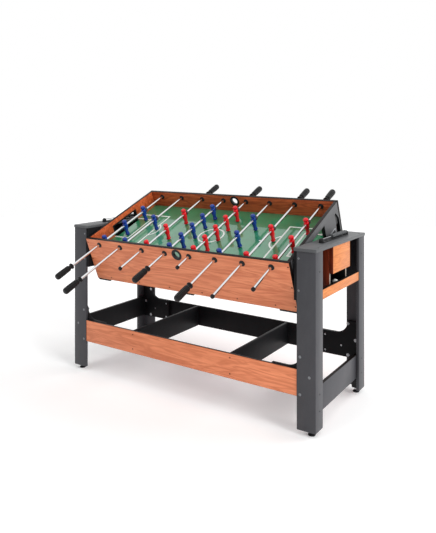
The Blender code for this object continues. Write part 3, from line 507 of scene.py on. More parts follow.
def mirrored(half: Outline, low: float, high: float) -> list[tuple[float, float]]:
    """A profile whose two ends are alike.

    Args:
        half: radii and how far past its end each lies, from the outside in.
        low: the first end.
        high: the second end.

    Returns:
        The profile, as radii and places along the axis.
    """
    return [(r, low - past) for r, past in half] + [(r, high + past) for r, past in reversed(half)]


def stacked(sides: int, rings: int, place: Callable[[int, int, Vector], Vector]) -> BMesh:
    """A closed, smooth shape extruded ring by ring.

    Args:
        sides: how many corners each ring has.
        rings: how many rings there are.
        place: gives a corner's place from its ring's number, its own and its way from the middle.

    Returns:
        The shape.
    """
    part = bmesh.new()
    bmesh.ops.create_circle(part, cap_ends=True, radius=1.0, segments=sides)
    ways = [vert.co.copy() for vert in part.verts]
    top, verts = part.faces[:][0], part.verts[:]
    for number in range(rings):
        if number:
            below = top
            made = bmesh.ops.extrude_face_region(part, geom=[below])["geom"]
            top = next(item for item in made if isinstance(item, BMFace))
            corners = {loop.vert for loop in top.loops}
            verts = [
                next(v for v in (edge.other_vert(vert) for edge in vert.link_edges) if v in corners)
                for vert in verts
            ]
            if number > 1 and below.is_valid:
                bmesh.ops.delete(part, geom=[below], context="FACES_ONLY")
        for k, (vert, way) in enumerate(zip(verts, ways)):
            vert.co = place(number, k, way)
    for face in part.faces:
        face.smooth = True
    return part


def cut_off(part: BMesh, place: Point, normal: Point) -> None:
    """Cuts off what lies past a plane and closes the cut.

    Args:
        part: the shape.
        place: a point of the plane.
        normal: the way that the plane faces.
    """
    everything = part.verts[:] + part.edges[:] + part.faces[:]
    plane = {"plane_co": place, "plane_no": normal}
    bmesh.ops.bisect_plane(part, geom=everything, dist=WELD, clear_outer=True, **plane)
    bmesh.ops.holes_fill(part, edges=[edge for edge in part.edges if edge.is_boundary])


class Form:
    """A mesh in the making; each of its faces knows which of the piece's finishes it shows."""

    # Cosine between a face and the way that it counts as looking
    looks_along = 0.97

    def __init__(self) -> None:
        """Starts with nothing."""
        self.bm = bmesh.new()

    def take(
        self, part: BMesh, finish: int | None = 0, sides: Sides | None = None, place: Matrix | None = None
    ) -> "Form":
        """Adds a closed part, its faces turned outwards.

        Args:
            part: the part, which is used up.
            finish: the finish of its faces, or None where they have theirs.
            sides: finishes of the faces that look one way, keyed such as "+X".
            place: where the part goes.

        Returns:
            The form.
        """
        bmesh.ops.remove_doubles(part, verts=part.verts, dist=WELD)
        bmesh.ops.recalc_face_normals(part, faces=part.faces)
        for face in part.faces:
            if finish is not None:
                face.material_index = finish
            for way, index in (sides or {}).items():
                turn = face.normal["XYZ".index(way[1])] * (1 if way[0] == "+" else -1)
                if turn > self.looks_along:
                    face.material_index = index
        if place is not None:
            bmesh.ops.transform(part, matrix=place, verts=part.verts)
        held = bpy.data.meshes.new("part")
        part.to_mesh(held)
        part.free()
        self.bm.from_mesh(held)
        bpy.data.meshes.remove(held)
        return self

    @staticmethod
    def ease(part: BMesh, width: float) -> None:
        """Rounds a part's sharp edges and leaves its flats flat."""
        for face in part.faces:
            face.smooth = False
        if width:
            edges = [edge for edge in part.edges if edge.calc_face_angle(0) > SHARP_ANGLE]
            for face in bevel(part, edges, width):
                face.smooth = True

    def board(
        self, low: Point, high: Point, ease: float = 0.0008, finish: int = 0, sides: Sides | None = None
    ) -> "Form":
        """Adds a rectangular board between two corners.

        Args:
            low: one corner.
            high: the opposite corner.
            ease: how much its edges are rounded.
            finish: the finish of its edges and of the faces that sides doesn't name.
            sides: finishes of single faces, keyed such as "+X".

        Returns:
            The form.
        """
        part = bmesh.new()
        bmesh.ops.create_cube(part, size=1.0)
        bmesh.ops.scale(part, vec=[abs(b - a) for a, b in zip(low, high)], verts=part.verts)
        bmesh.ops.translate(part, vec=(Vector(low) + Vector(high)) / 2, verts=part.verts)
        self.ease(part, ease)
        return self.take(part, finish, sides)

    def prism(
        self,
        outline: Outline,
        axis: Axis,
        start: float,
        end: float,
        ease: float = 0.0008,
        finish: int = 0,
    ) -> "Form":
        """Adds a shape extruded along an axis.

        Args:
            outline: its corners, in the order of the other two axes.
            axis: the axis that it is extruded along.
            start: where it starts on the axis.
            end: where it ends.
            ease: how much its edges are rounded.
            finish: the finish of its faces.

        Returns:
            The form.
        """
        part = bmesh.new()
        face = part.faces.new([part.verts.new(axis.lift(u, v, start)) for u, v in outline])
        made = bmesh.ops.extrude_face_region(part, geom=[face])["geom"]
        far = [item for item in made if isinstance(item, BMVert)]
        bmesh.ops.translate(part, vec=axis.lift(0, 0, end - start), verts=far)
        self.ease(part, ease)
        return self.take(part, finish)

    def turned(
        self,
        profile: Outline,
        steps: int = 24,
        axis: Axis = Axis.Z,
        at: Point = (0, 0, 0),
        finish: int = 0,
        facing: int = 1,
    ) -> "Form":
        """Adds a turned shape.

        Args:
            profile: its radius and place along the axis, from end to end, or all round a ring.
            steps: how many sides it has.
            axis: the axis that it is turned about.
            at: a point on that axis.
            finish: the finish of its faces.
            facing: which way the profile runs along the axis, 1 or -1.

        Returns:
            The form.
        """
        part = bmesh.new()
        points = [part.verts.new((radius, 0, facing * along)) for radius, along in profile]
        for first, second in zip(points, points[1:]):
            part.edges.new((first, second))
        if profile[0][0] > 0:
            part.edges.new((points[-1], points[0]))
        wire = part.verts[:] + part.edges[:]
        about = {"axis": (0, 0, 1), "cent": (0, 0, 0), "angle": tau}
        bmesh.ops.spin(part, geom=wire, steps=steps, use_merge=True, **about)
        for face in part.faces:
            face.smooth = True
        return self.take(part, finish, place=Matrix.Translation(at) @ axis.value)

    def tube(
        self,
        radius: float,
        start: float,
        end: float,
        axis: Axis,
        at: Point = (0, 0, 0),
        ease: float = 0.0,
        steps: int = 24,
        finish: int = 0,
    ) -> "Form":
        """Adds a round bar whose two rims are eased.

        Args:
            radius: the bar's radius.
            start: one end on the axis.
            end: the other end.
            axis: the axis that it lies along.
            at: a point on that axis.
            ease: how much its rims are eased.
            steps: how many sides it has.
            finish: the finish of its faces.

        Returns:
            The form.
        """
        low, high = sorted((start, end))
        rim = [(radius - ease, 0), (radius, -ease)] if ease else [(radius, 0)]
        return self.turned(mirrored([(0, 0), *rim], low, high), steps, axis, at, finish)

    def carve(self, cutter: "Form") -> "Form":
        """Cuts the closed shapes of another form out of this one, for good.

        Args:
            cutter: the other form, which is used up.

        Returns:
            The form.
        """
        pair = []
        for form in (self, cutter):
            mesh = bpy.data.meshes.new("carving")
            form.bm.to_mesh(mesh)
            form.bm.free()
            pair.append(bpy.data.objects.new("carving", mesh))
            bpy.context.scene.collection.objects.link(pair[-1])
        target, tool = pair
        step = target.modifiers.new("carve", "BOOLEAN")
        step.operation = "DIFFERENCE"
        step.solver = "EXACT"
        step.use_self = True
        step.object = tool
        bpy.context.view_layer.update()
        graph = bpy.context.evaluated_depsgraph_get()
        carved = bpy.data.meshes.new_from_object(target.evaluated_get(graph))
        self.bm = bmesh.new()
        self.bm.from_mesh(carved)
        bpy.data.meshes.remove(carved)
        for thing in pair:
            mesh = thing.data
            bpy.data.objects.remove(thing, do_unlink=True)
            bpy.data.meshes.remove(mesh)
        return self

    def settle(
        self,
        name: str,
        carrier: Carrier,
        slot: str,
        finishes: Sequence[Finish],
        replaces: str = "",
        rounding: int = 0,
    ) -> None:
        """slot: the record's material slot of the piece; not used.

        Args:
            name: the piece's name.
            carrier: the body that it moves with, and its place.
            slot: the record's material slot that it takes its finish from.
            finishes: the finishes that its faces' numbers mean.
            replaces: the CAD node that it stands for.
            rounding: levels of subdivision, for a moulded shape.
        """
        mesh = bpy.data.meshes.new(name)
        self.bm.to_mesh(mesh)
        self.bm.free()
        mesh.transform(carrier.place)
        for finish in finishes:
            mesh.materials.append(finish.material())
        piece = bpy.data.objects.new(name, mesh)
        bpy.context.scene.collection.objects.link(piece)
        if rounding:
            smooth = piece.modifiers.new("rounding", "SUBSURF")
            smooth.levels = smooth.render_levels = rounding
        else:
            mesh.set_sharp_from_angle(angle=SHARP_ANGLE)
        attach(piece, carrier.body)
        if replaces:
            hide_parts(replaces)
        log.info("%s on %s, %d faces", name, carrier.body, len(mesh.polygons))


def add_screw(
    form: Form, at: Point, axis: Axis, facing: int, radius: float = 0.0036, proud: float = 0.0006
) -> None:
    """Adds a countersunk screw head with its driver recess, nearly flush with the board.

    Args:
        form: the form that it is added to.
        at: the point on the board's face.
        axis: the way that the board faces.
        facing: which way along that axis, 1 or -1.
        radius: of the head.
        proud: how far the head stands out.
    """
    profile = [
        (0, -radius * 0.6), (radius * 0.9, -0.4 * MM), (radius, proud * 0.4), (radius * 0.92, proud),
        (radius * 0.42, proud), (radius * 0.34, -radius * 0.4), (0, -radius * 0.4),
    ]
    form.turned(profile, 12, axis, at, facing=facing)


def add_bolt(form: Form, at: Point, axis: Axis, facing: int, radius: float, proud: float) -> None:
    """Adds a domed bolt head on a washer, with a round recess.

    Args:
        form: the form that it is added to.
        at: the point on the board's face.
        axis: the way that the board faces.
        facing: which way along that axis, 1 or -1.
        radius: of the head.
        proud: how far the head stands out.
    """
    wide, thick = radius * 1.3, 0.6 * MM
    washer = [(0, -thick), (wide, -thick), (wide, thick), (0, thick)]
    form.turned(washer, 20, axis, at, facing=facing)
    seat = thick - 0.2 * MM
    dome = [
        (0, seat), (radius, seat), (radius, proud * 0.35), (radius * 0.86, proud * 0.75),
        (radius * 0.6, proud), (radius * 0.45, proud), (radius * 0.42, proud * 0.3), (0, proud * 0.3),
    ]
    form.turned(dome, 18, axis, at, facing=facing)


# Cabinet


@dataclass
class Shell:
    """The cabinet's walls, bearings and football field."""

    half_length: float = 0.608
    half_width: float = 0.305
    half_depth: float = 0.125
    apron_thick: float = 0.018
    wall_thick: float = 0.016
    wall_ease: float = 0.0012
    rod_count: int = 8
    rod_pitch: float = 0.148
    rod_z: float = 0.0935
    rod_bore: float = 0.00695
    sleeve_radius: float = 0.0095
    flange_radius: float = 0.0148
    flange_thick: float = 0.003
    flange_round: tuple[float, float] = (0.0022, 0.0006)
    serve_radius: float = 0.0295
    serve_neck: float = 0.003
    serve_hole: float = 0.018
    serve_lip: float = 0.002
    serve_ease: float = 0.0012
    serve_dish: tuple[float, float] = (0.004, 0.007)
    bed_screws: tuple[float, ...] = (-0.5, -0.3, -0.1, 0.1, 0.3, 0.5)
    bed_screw_z: float = -0.107
    wall_screws_z: tuple[float, ...] = (-0.098, 0.0, 0.103)
    field_top: float = 0.0315
    goal_half: float = 0.100
    goal_sill: float = 0.0128
    goal_top: float = 0.090
    liner_lip: float = 0.0022
    liner_rim: float = 0.007
    liner_wall: float = 0.0018
    ramp_length: float = 0.017
    slot_half: float = 0.022
    slot_centre: float = 0.2567
    slot_bottom: float = -0.107
    slot_top: float = 0.0145
    slot_crown: float = 0.0775
    slot_shoulder: float = 0.040
    slot_crown_share: float = 0.35
    slot_recess: float = 0.005
    guard_bottom: float = -0.104
    guard_lap: float = 0.0006
    guard_width: float = 0.0052
    # How far an edge guard's shoulders, outer and inner, are above the slot's
    guard_shoulders: tuple[float, float] = (0.002, -0.001)
    # Steps of its two upper corners from the slot's crown, across and up
    guard_steps: Outline = ((0.0060, -0.001), (0.0012, -0.003))
    guard_depth: float = 0.0012
    guard_proud: float = 0.0016
    guard_ease: float = 0.0005
    pin_offset: float = 0.165
    pin_bore: float = 0.0046
    # Two opposite corners of a pin's plate and of the hollow in it, from the pin's axis
    plate: tuple[float, ...] = (-0.016, -0.011, 0.052, 0.014)
    plate_hollow: tuple[float, ...] = (0.008, -0.0065, 0.047, 0.0095)
    plate_sunk: float = 0.0004
    plate_proud: float = 0.0012
    stub_bore: float = 0.0086
    boss_radius: float = 0.016
    boss_length: float = 0.010
    boss_ease: float = 0.0015
    line_width: float = 0.0090
    ink_sunk: float = 0.0001
    ink_proud: float = 0.00015
    circle: float = 0.070
    # How far along the field a box's front line is, and how far its side lines are from the middle
    boxes: Outline = ((0.390, 0.160), (0.494, 0.110))
    arc_centre: float = 0.355
    penalty_spot: tuple[float, float] = (0.294, 0.0055)
    centre_spot: float = 0.0075

    @property
    def inner_x(self) -> float:
        """Inner face of an end wall."""
        return self.half_length - self.wall_thick

    @property
    def inner_y(self) -> float:
        """Inner face of an apron."""
        return self.half_width - self.apron_thick

    @property
    def rod_places(self) -> list[tuple[float, float, float]]:
        """Where the rods cross the middle of the cabinet."""
        middle = (self.rod_count - 1) / 2
        return [((index - middle) * self.rod_pitch, 0, self.rod_z) for index in range(self.rod_count)]

    def apron(self, row: Row) -> None:
        """A long wall: cherry foil on both faces, black edge band, bored for its bearings.

        Args:
            row: the side that it is on.
        """
        inner, outer = row.value * self.inner_y, row.value * self.half_width
        low, high = (-self.half_length, inner, -self.half_depth), (self.half_length, outer)
        form = Form().board(low, (*high, self.half_depth), self.wall_ease, 2, row.faces(0, 1))
        holes = Form()
        ends = (inner - row.value * OVERRUN, outer + row.value * OVERRUN)
        for at in self.rod_places:
            holes.tube(self.sleeve_radius + FIT, *ends, Axis.Y, at, finish=2)
        neck = self.serve_radius - self.serve_neck + FIT
        holes.tube(neck, *ends, Axis.Y, (0, 0, self.rod_z), steps=40, finish=2)
        form.carve(holes)
        # The inner faces' darker foil is partly painted shade
        finishes = (CHERRY_OUTSIDE, CHERRY_INSIDE_PRINT_AND_SHADE, EDGE_BAND)
        form.settle(f"apron_{row}_board", CABINET, "cherry_laminate", finishes, f"apron_{row}")

    def bearings(self, row: Row) -> None:
        """Split nylon bearings, each a sleeve between two rounded flanges.

        Args:
            row: the apron that they are in.
        """
        low, high = sorted((row.value * self.inner_y, row.value * self.half_width))
        rim, lip, (crown, shoulder) = self.flange_radius, self.flange_thick, self.flange_round
        flange = [
            (self.rod_bore, lip), (rim - crown, lip), (rim - shoulder, lip * 0.72), (rim, lip * 0.3),
            (rim, FIT), (self.sleeve_radius, FIT),
        ]
        form = Form()
        for at in self.rod_places:
            form.turned(mirrored(flange, low, high), 32, Axis.Y, at)
        form.settle(f"apron_{row}_bearings", CABINET, "black_plastic", (BLACK_ABS,))

    def serving_ring(self, row: Row) -> None:
        """The ring that the ball is dropped through, dished on the outside.

        Args:
            row: the apron that it is in.
        """
        low, high = sorted((row.value * self.inner_y, row.value * self.half_width))
        rim, hole, lip, ease = self.serve_radius, self.serve_hole, self.serve_lip, self.serve_ease
        neck = rim - self.serve_neck
        flange = [(rim - ease, lip), (rim, lip * 0.4), (rim, FIT), (neck, FIT)]
        crest, foot = self.serve_dish
        dish = [(neck + 0.2 * MM, high + lip), (hole + ease, high - crest), (hole, high - foot)]
        profile = [(hole, low - lip), *mirrored(flange, low, high), *dish]
        form = Form().turned(profile, 48, Axis.Y, (0, 0, self.rod_z))
        form.settle(f"serving_ring_{row}", CABINET, "black_plastic", (BLACK_ABS,))

    def apron_screws(self, row: Row) -> None:
        """Dark screws: a row into the pool bed and three into each end wall.

        Args:
            row: the apron that they go through.
        """
        y, wall = row.value * self.half_width, self.half_length - self.wall_thick / 2
        places = [(x, y, self.bed_screw_z) for x in self.bed_screws]
        places += [(x, y, z) for x in (-wall, wall) for z in self.wall_screws_z]
        form = Form()
        for at in places:
            add_screw(form, at, Axis.Y, row.value)
        form.settle(f"apron_{row}_screws", CABINET, "black_plastic", (BLACK_STEEL,))

    def end_wall(self, end: End) -> None:
        """A short wall: grey laminate outside, cherry inside, cut for goal, slots and pins.

        Args:
            end: the end that it closes.
        """
        side = end.value
        inner, outer = side * self.inner_x, side * self.half_length
        y = self.inner_y - FIT
        low, high = (inner, -y, -self.half_depth), (outer, y, self.half_depth)
        form = Form().board(low, high, self.wall_ease, 2, end.faces(0, 1))
        through = within, beyond = inner - side * OVERRUN, outer + side * OVERRUN
        start = inner - side * self.ramp_length
        slope = (self.field_top - self.goal_sill) / (self.half_length - abs(start))
        sill = self.field_top - slope * abs(beyond - start)
        mouth = [(start, self.field_top), (beyond, sill), (beyond, self.goal_top), (start, self.goal_top)]
        cuts = Form().prism(mouth, Axis.Y, -self.goal_half, self.goal_half, 0, 2)
        cuts.tube(self.stub_bore, *through, Axis.X, finish=2)
        for half in (-1, 1):
            cuts.tube(self.pin_bore, *through, Axis.X, (0, half * self.pin_offset, 0), finish=2)
            near, far = (half * self.slot_centre + k * self.slot_half for k in (-1, 1))
            # The slot's cut faces take the black plastic, painted shade inside the slot
            cuts.board((within, near, self.slot_bottom), (beyond, far, self.slot_top), 0, 3)
            inside, outside = (near, far) if half > 0 else (far, near)
            corner = inside + (outside - inside) * self.slot_crown_share
            base = self.slot_top - SUNK
            lip = [
                (inside, base), (inside, self.slot_crown), (corner, self.slot_crown),
                (outside, self.slot_shoulder), (outside, base),
            ]
            # The recess round the slot's top is walled and floored in the black plastic, painted shade in
            # the recess
            cuts.prism(lip, Axis.X, outer - side * self.slot_recess, beyond, 0, 3)
        form.carve(cuts)
        tip, ease = inner - side * self.boss_length, self.boss_ease
        boss = [
            (self.stub_bore, inner), (self.boss_radius, inner), (self.boss_radius, tip + side * ease),
            (self.boss_radius - ease, tip), (self.stub_bore, tip),
        ]
        form.turned(boss, 28, Axis.X, finish=3)
        # The inner face's darker foil is partly painted shade
        finishes = (END_FOIL, CHERRY_INSIDE_PRINT_AND_SHADE, EDGE_BAND, BLACK_ABS)
        form.settle(f"end_wall_{end}_board", CABINET, "end_laminate", finishes, f"end_wall_{end}")

    def goal_liner(self, end: End) -> None:
        """The moulded frame that is pressed into the goal mouth from the field's side.

        Args:
            end: the end that the goal is at.
        """
        inner, outer = end.value * self.inner_x, end.value * self.half_length
        lip, seat = inner - end.value * self.liner_lip, inner - end.value * FIT
        half, top, bottom = self.goal_half, self.goal_top, self.field_top + FIT
        wide, high = half + self.liner_rim, top + self.liner_rim
        form = Form()
        for y in (-1, 1):
            form.board((lip, y * half, bottom), (seat, y * wide, high))
            form.board((lip, y * half, bottom), (outer, y * (half - self.liner_wall), top))
        form.board((lip, -half, top), (seat, half, high))
        form.board((lip, -half, top), (outer, half, top - self.liner_wall))
        form.settle(f"goal_liner_{end}", CABINET, "black_plastic", (BLACK_ABS,))

    def slot_guards(self, end: End) -> None:
        """Folded edge guards beside the ball slots.

        Args:
            end: the end wall that they are on.
        """
        outer = end.value * self.half_length
        near, far = outer - end.value * self.guard_depth, outer + end.value * self.guard_proud
        edge = self.slot_centre + self.slot_half
        corner = self.slot_centre + self.slot_half * (2 * self.slot_crown_share - 1)
        inner, rim = edge - self.guard_lap, edge + self.guard_width
        crown = [(corner + across, self.slot_crown + up) for across, up in self.guard_steps]
        outer_z, inner_z = (self.slot_shoulder + up for up in self.guard_shoulders)
        outline = [(inner, self.guard_bottom), (rim, self.guard_bottom), (rim, outer_z)]
        outline += [*crown, (inner, inner_z)]
        form = Form()
        for half in (-1, 1):
            form.prism([(half * y, z) for y, z in outline], Axis.X, near, far, self.guard_ease)
        form.settle(f"slot_guards_{end}", CABINET, "black_plastic", (GREY_BEAD,))

    def pin_plates(self, end: End) -> None:
        """A plate round each lock pin's hole, with a hollow that the pin's tip runs in.

        Args:
            end: the end wall that they are on.
        """
        side, outer = end.value, end.value * self.half_length
        plates = Form()
        for half in (-1, 1):
            at = half * self.pin_offset
            whole, hollow = (
                [(at + half * y, z) for y, z in ((near, low), (far, low), (far, top), (near, top))]
                for near, low, far, top in (self.plate, self.plate_hollow)
            )
            ends = (outer - side * self.plate_sunk, outer + side * self.plate_proud)
            plate = Form().prism(whole, Axis.X, *ends, self.guard_ease)
            beyond = outer + side * OVERRUN
            # The hollow's and the pin hole's cut faces take the black plastic, painted shade inside them
            holes = Form().prism(hollow, Axis.X, outer + side * self.plate_sunk, beyond, 0, 1)
            holes.tube(self.pin_bore, outer - side * OVERRUN, beyond, Axis.X, (0, at, 0), finish=1)
            plate.carve(holes)
            plates.take(plate.bm, None)
        plates.settle(f"pin_plates_{end}", CABINET, "plated_steel", (ZINC, BLACK_ABS))

    def field_lines(self) -> None:
        """The printed markings, laid on the field as thin inked strips."""
        depth = low, high = self.field_top - self.ink_sunk, self.field_top + self.ink_proud
        half = self.line_width / 2
        form = Form()

        def strip(x: float, y: float, to_x: float, to_y: float) -> None:
            """Adds a straight line between two points of the field."""
            near, far = zip(sorted((x, to_x)), sorted((y, to_y)))
            form.board([*(v - half for v in near), low], [*(v + half for v in far), high], 0)

        wall, reach = self.inner_x - 2 * FIT - half, self.inner_y - FIT - half
        for way in (-1, 1):
            strip(0, way * (self.circle + half), 0, way * reach)
        for side in (-1, 1):
            for front, width in self.boxes:
                strip(side * front, -width, side * front, width)
                for y in (-width, width):
                    strip(side * (front + self.line_width), y, side * wall, y)
            edge = self.boxes[0][0] - half
            self.ring(form, side * (self.arc_centre + self.circle), depth, side * edge)
            spot, radius = self.penalty_spot
            form.tube(radius, *depth, Axis.Z, (side * spot, 0, 0))
        self.ring(form, 0, depth)
        form.tube(self.centre_spot, *depth, Axis.Z)
        form.settle("field_lines", CABINET, "green_field", (LINE_WHITE,))

    def ring(self, form: Form, x: float, depth: tuple[float, float], cut: float = 0.0) -> None:
        """Adds a circle's line, or only the arc on the field's side of a cut.

        Args:
            form: the form that it is added to.
            x: the circle's centre along the field.
            depth: underside and top of the line.
            cut: where along the field an arc is cut off, or 0 for a full circle.
        """
        low, high = depth
        inner, outer = self.circle - self.line_width / 2, self.circle + self.line_width / 2
        line = Form()
        line.turned([(inner, low), (outer, low), (outer, high), (inner, high)], 64, at=(x, 0, 0))
        if cut:
            cut_off(line.bm, (cut, 0, 0), (1 if cut > 0 else -1, 0, 0))
        form.take(line.bm)

    def build(self) -> None:
        """Builds every piece of the shell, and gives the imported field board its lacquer."""
        for row in Row:
            self.apron(row)
            self.bearings(row)
            self.serving_ring(row)
            self.apron_screws(row)
        for end in End:
            self.end_wall(end)
            self.goal_liner(end)
            self.slot_guards(end)
            self.pin_plates(end)
        board = frame["nodes"]["football_field"]
        board.data.materials.clear()
        board.data.materials.append(FIELD_GREEN.material())
        self.field_lines()


@dataclass
class PoolSide:
    """The pool bed with its cushions, rim and pockets, seen when the cabinet is turned over."""

    shell: Shell
    rim_z: float = -0.125
    cloth_z: float = -0.085
    bed_back: float = -0.070
    bed_ease: float = 0.0006
    rim_width: float = 0.008
    rim_thick: float = 0.0127
    cushion_width: float = 0.046
    cushion_ease: float = 0.0026
    cushion_overrun: float = 0.010
    mitre_gap: float = 0.002
    nose_low: float = 0.020
    nose_high: float = 0.026
    slope: float = 0.012
    below_rim: float = 0.0015
    undercut: float = 0.007
    pocket_radius: float = 0.0265
    pocket_outer: float = 0.030
    pocket_bottom: float = -0.035
    cup_round: float = 0.005
    cup_ease: float = 0.004
    cup_lip: float = 0.002
    cup_flare: float = 0.001
    mouth_half: float = 0.022
    mouth_flare: float = 0.0297
    mouth_sunk: float = 0.0005
    casting_thick: float = 0.0085
    casting_ease: float = 0.0007
    # Corners of the castings, as distances in from the cabinet's corner
    corner_casting: Outline = (
        (0.0, 0.092), (0.0, 0.010), (0.003, 0.003), (0.010, 0.0), (0.092, 0.0),
        (0.092, 0.022), (0.058, 0.052), (0.052, 0.058), (0.022, 0.092),
    )
    # The same for the two in the middle, as distances from there and in from the cabinet's side
    middle_casting: Outline = (
        (-0.042, 0.0), (0.042, 0.0), (0.042, 0.020), (0.033, 0.050), (-0.033, 0.050), (-0.042, 0.020),
    )

    @property
    def back(self) -> tuple[float, float]:
        """Where the bed and the cushions end along X and Y."""
        return self.shell.inner_x - FIT, self.shell.inner_y - FIT

    @property
    def pockets(self) -> list[tuple[float, float]]:
        """Centres of the six pockets."""
        x, y = (edge - self.pocket_outer for edge in self.back)
        return [(px, py) for px in (-x, 0.0, x) for py in (-y, y)]

    def mouth(self, form: Form, x: float, y: float, low: float, high: float) -> None:
        """Adds the wedge of the way into a pocket, to be carved out.

        Args:
            form: the cutter that it is added to.
            x: the pocket's centre.
            y: the pocket's centre.
            low: where the wedge starts in depth.
            high: where it ends.
        """
        reach, near, far = self.cushion_width + self.pocket_outer, self.mouth_half, self.mouth_flare
        wedge = [(0, -near), (reach, -far), (reach, far), (0, near)]
        turn = atan2(-(1 if y > 0 else -1), -((x > 0) - (x < 0)))
        place = Matrix.Translation((x, y, 0)) @ Matrix.Rotation(turn, 4, "Z")
        form.take(Form().prism(wedge, Axis.Z, low, high, 0).bm, place=place)

    def bed(self) -> None:
        """The slab: cloth on its playing side, bare hardboard behind."""
        x, y = self.back
        low, high = (-x, -y, self.cloth_z), (x, y, self.bed_back)
        form = Form().board(low, high, self.bed_ease, 1, {"-Z": 0})
        holes = Form()
        ends = (self.cloth_z - OVERRUN, self.bed_back + OVERRUN)
        for px, py in self.pockets:
            holes.tube(self.pocket_outer + FIT, *ends, Axis.Z, (px, py, 0), steps=32, finish=1)
        form.carve(holes)
        form.settle("pool_bed_board", CABINET, "red_cloth", (POOL_CLOTH_RED, HARDBOARD), "pool_bed")

    def cushions(self) -> None:
        """Six cloth-covered rubber cushions with rounded noses, their ends mitred short of each other."""
        form, holes = Form(), Form()
        x, y = self.back
        low, top = self.cloth_z - FIT, self.rim_z + self.below_rim
        for axis, back, half in ((Axis.X, y, x), (Axis.Y, x, y)):
            nose, step = back - self.cushion_width, back - self.rim_width - FIT
            section = [
                (step, low), (nose + self.undercut, low), (nose, self.cloth_z - self.nose_low),
                (nose, self.cloth_z - self.nose_high), (nose + self.slope, top), (step, top),
            ]
            reach, mitre = half + self.cushion_overrun, half - self.cushion_width - self.mitre_gap
            for sign in (-1, 1):
                outline = [(sign * across, up) for across, up in section]
                cushion = Form().prism(outline, axis, -reach, reach, self.cushion_ease).bm
                for end in (-1, 1):
                    cut_off(cushion, axis.lift(sign * nose, 0, end * mitre), axis.lift(-sign, 0, end))
                form.take(cushion)
        ends = (self.rim_z - OVERRUN, self.cloth_z + OVERRUN)
        for px, py in self.pockets:
            self.mouth(holes, px, py, *ends)
            holes.tube(self.pocket_outer + FIT, *ends, Axis.Z, (px, py, 0), steps=32)
        form.carve(holes)
        form.settle("pool_cushions", CABINET, "red_cloth", (POOL_CLOTH_RED,), "pool_bed")

    def rim_and_pockets(self) -> None:
        """The black strip round the pool, with a moulded cup at each pocket."""
        x, y = self.back
        z, high, width = self.rim_z, self.rim_z + self.rim_thick, self.rim_width
        form = Form().board((-x, -y, z), (x, y, high))
        ends = (z - OVERRUN, high + OVERRUN)
        inside = Form().board((width - x, width - y, ends[0]), (x - width, y - width, ends[1]), 0)
        bottom, ease = self.pocket_bottom, self.cup_ease
        radius, outer = self.pocket_radius, self.pocket_outer
        floor = bottom - (outer - radius)
        profile = [
            (0, floor), (radius - self.cup_round, floor), (radius, floor - self.cup_round),
            (radius, z + self.cup_lip), (radius + self.cup_flare, z), (outer, z),
            (outer, bottom - ease), (outer - ease, bottom), (0, bottom),
        ]
        cups, ways = Form(), Form()
        for px, py in self.pockets:
            inside.tube(outer - SUNK, *ends, Axis.Z, (px, py, 0), steps=32)
            cups.turned(profile, 36, Axis.Z, (px, py, 0))
            self.mouth(ways, px, py, ends[0], self.cloth_z + self.mouth_sunk)
            if px:
                out = px + (1 if px > 0 else -1) * (outer + OVERRUN)
                near, far = (py + k * self.shell.slot_half for k in (-1, 1))
                ways.board((px, near, self.shell.slot_bottom), (out, far, floor), 0)
        form.carve(inside)
        form.take(cups.carve(ways).bm)
        form.settle("pool_rim_and_cups", CABINET, "black_plastic", (BLACK_ABS,), "pool_rim")

    def castings(self) -> None:
        """Plates over the rim at each pocket, which wrap the walls' edges."""
        out_x, out_y = self.shell.half_length, self.shell.half_width
        top, low = self.rim_z - FIT, self.rim_z - self.casting_thick
        ends = (low - OVERRUN, top + OVERRUN)
        form, holes = Form(), Form()
        for px, py in self.pockets:
            sx, sy = (px > 0) - (px < 0), 1 if py > 0 else -1
            outline = [(sx * (out_x - u), sy * (out_y - v)) for u, v in self.corner_casting]
            if not sx:
                outline = [(u, sy * (out_y - v)) for u, v in self.middle_casting]
            form.prism(outline, Axis.Z, top, low, self.casting_ease)
            holes.tube(self.pocket_radius, *ends, Axis.Z, (px, py, 0), steps=36)
            self.mouth(holes, px, py, *ends)
        form.carve(holes)
        form.settle("pocket_castings", CABINET, "black_plastic", (BLACK_ABS,))

    def build(self) -> None:
        """Builds every piece of the pool side."""
        self.bed()
        self.cushions()
        self.rim_and_pockets()
        self.castings()


# Rods


@dataclass(frozen=True)
class Team:
    """A side's plastic, the slot that it comes from and the way that its players face."""

    finish: Finish
    slot: str
    facing: int


BLUE = Team(BLUE_PLASTIC, "blue_players", 1)
RED = Team(RED_PLASTIC, "red_players", -1)
# The teams and the numbers of players of the eight rods, from the left
LINE_UP = ((BLUE, 3), (BLUE, 2), (RED, 3), (BLUE, 5), (RED, 5), (BLUE, 3), (RED, 2), (RED, 3))
# Distance between two players of a rod with so many, as a share of the field's width
SPACING_SHARES = {2: 0.453, 3: 0.305, 5: 0.185}

Rings = tuple[tuple[float, float, float, float, float], ...]


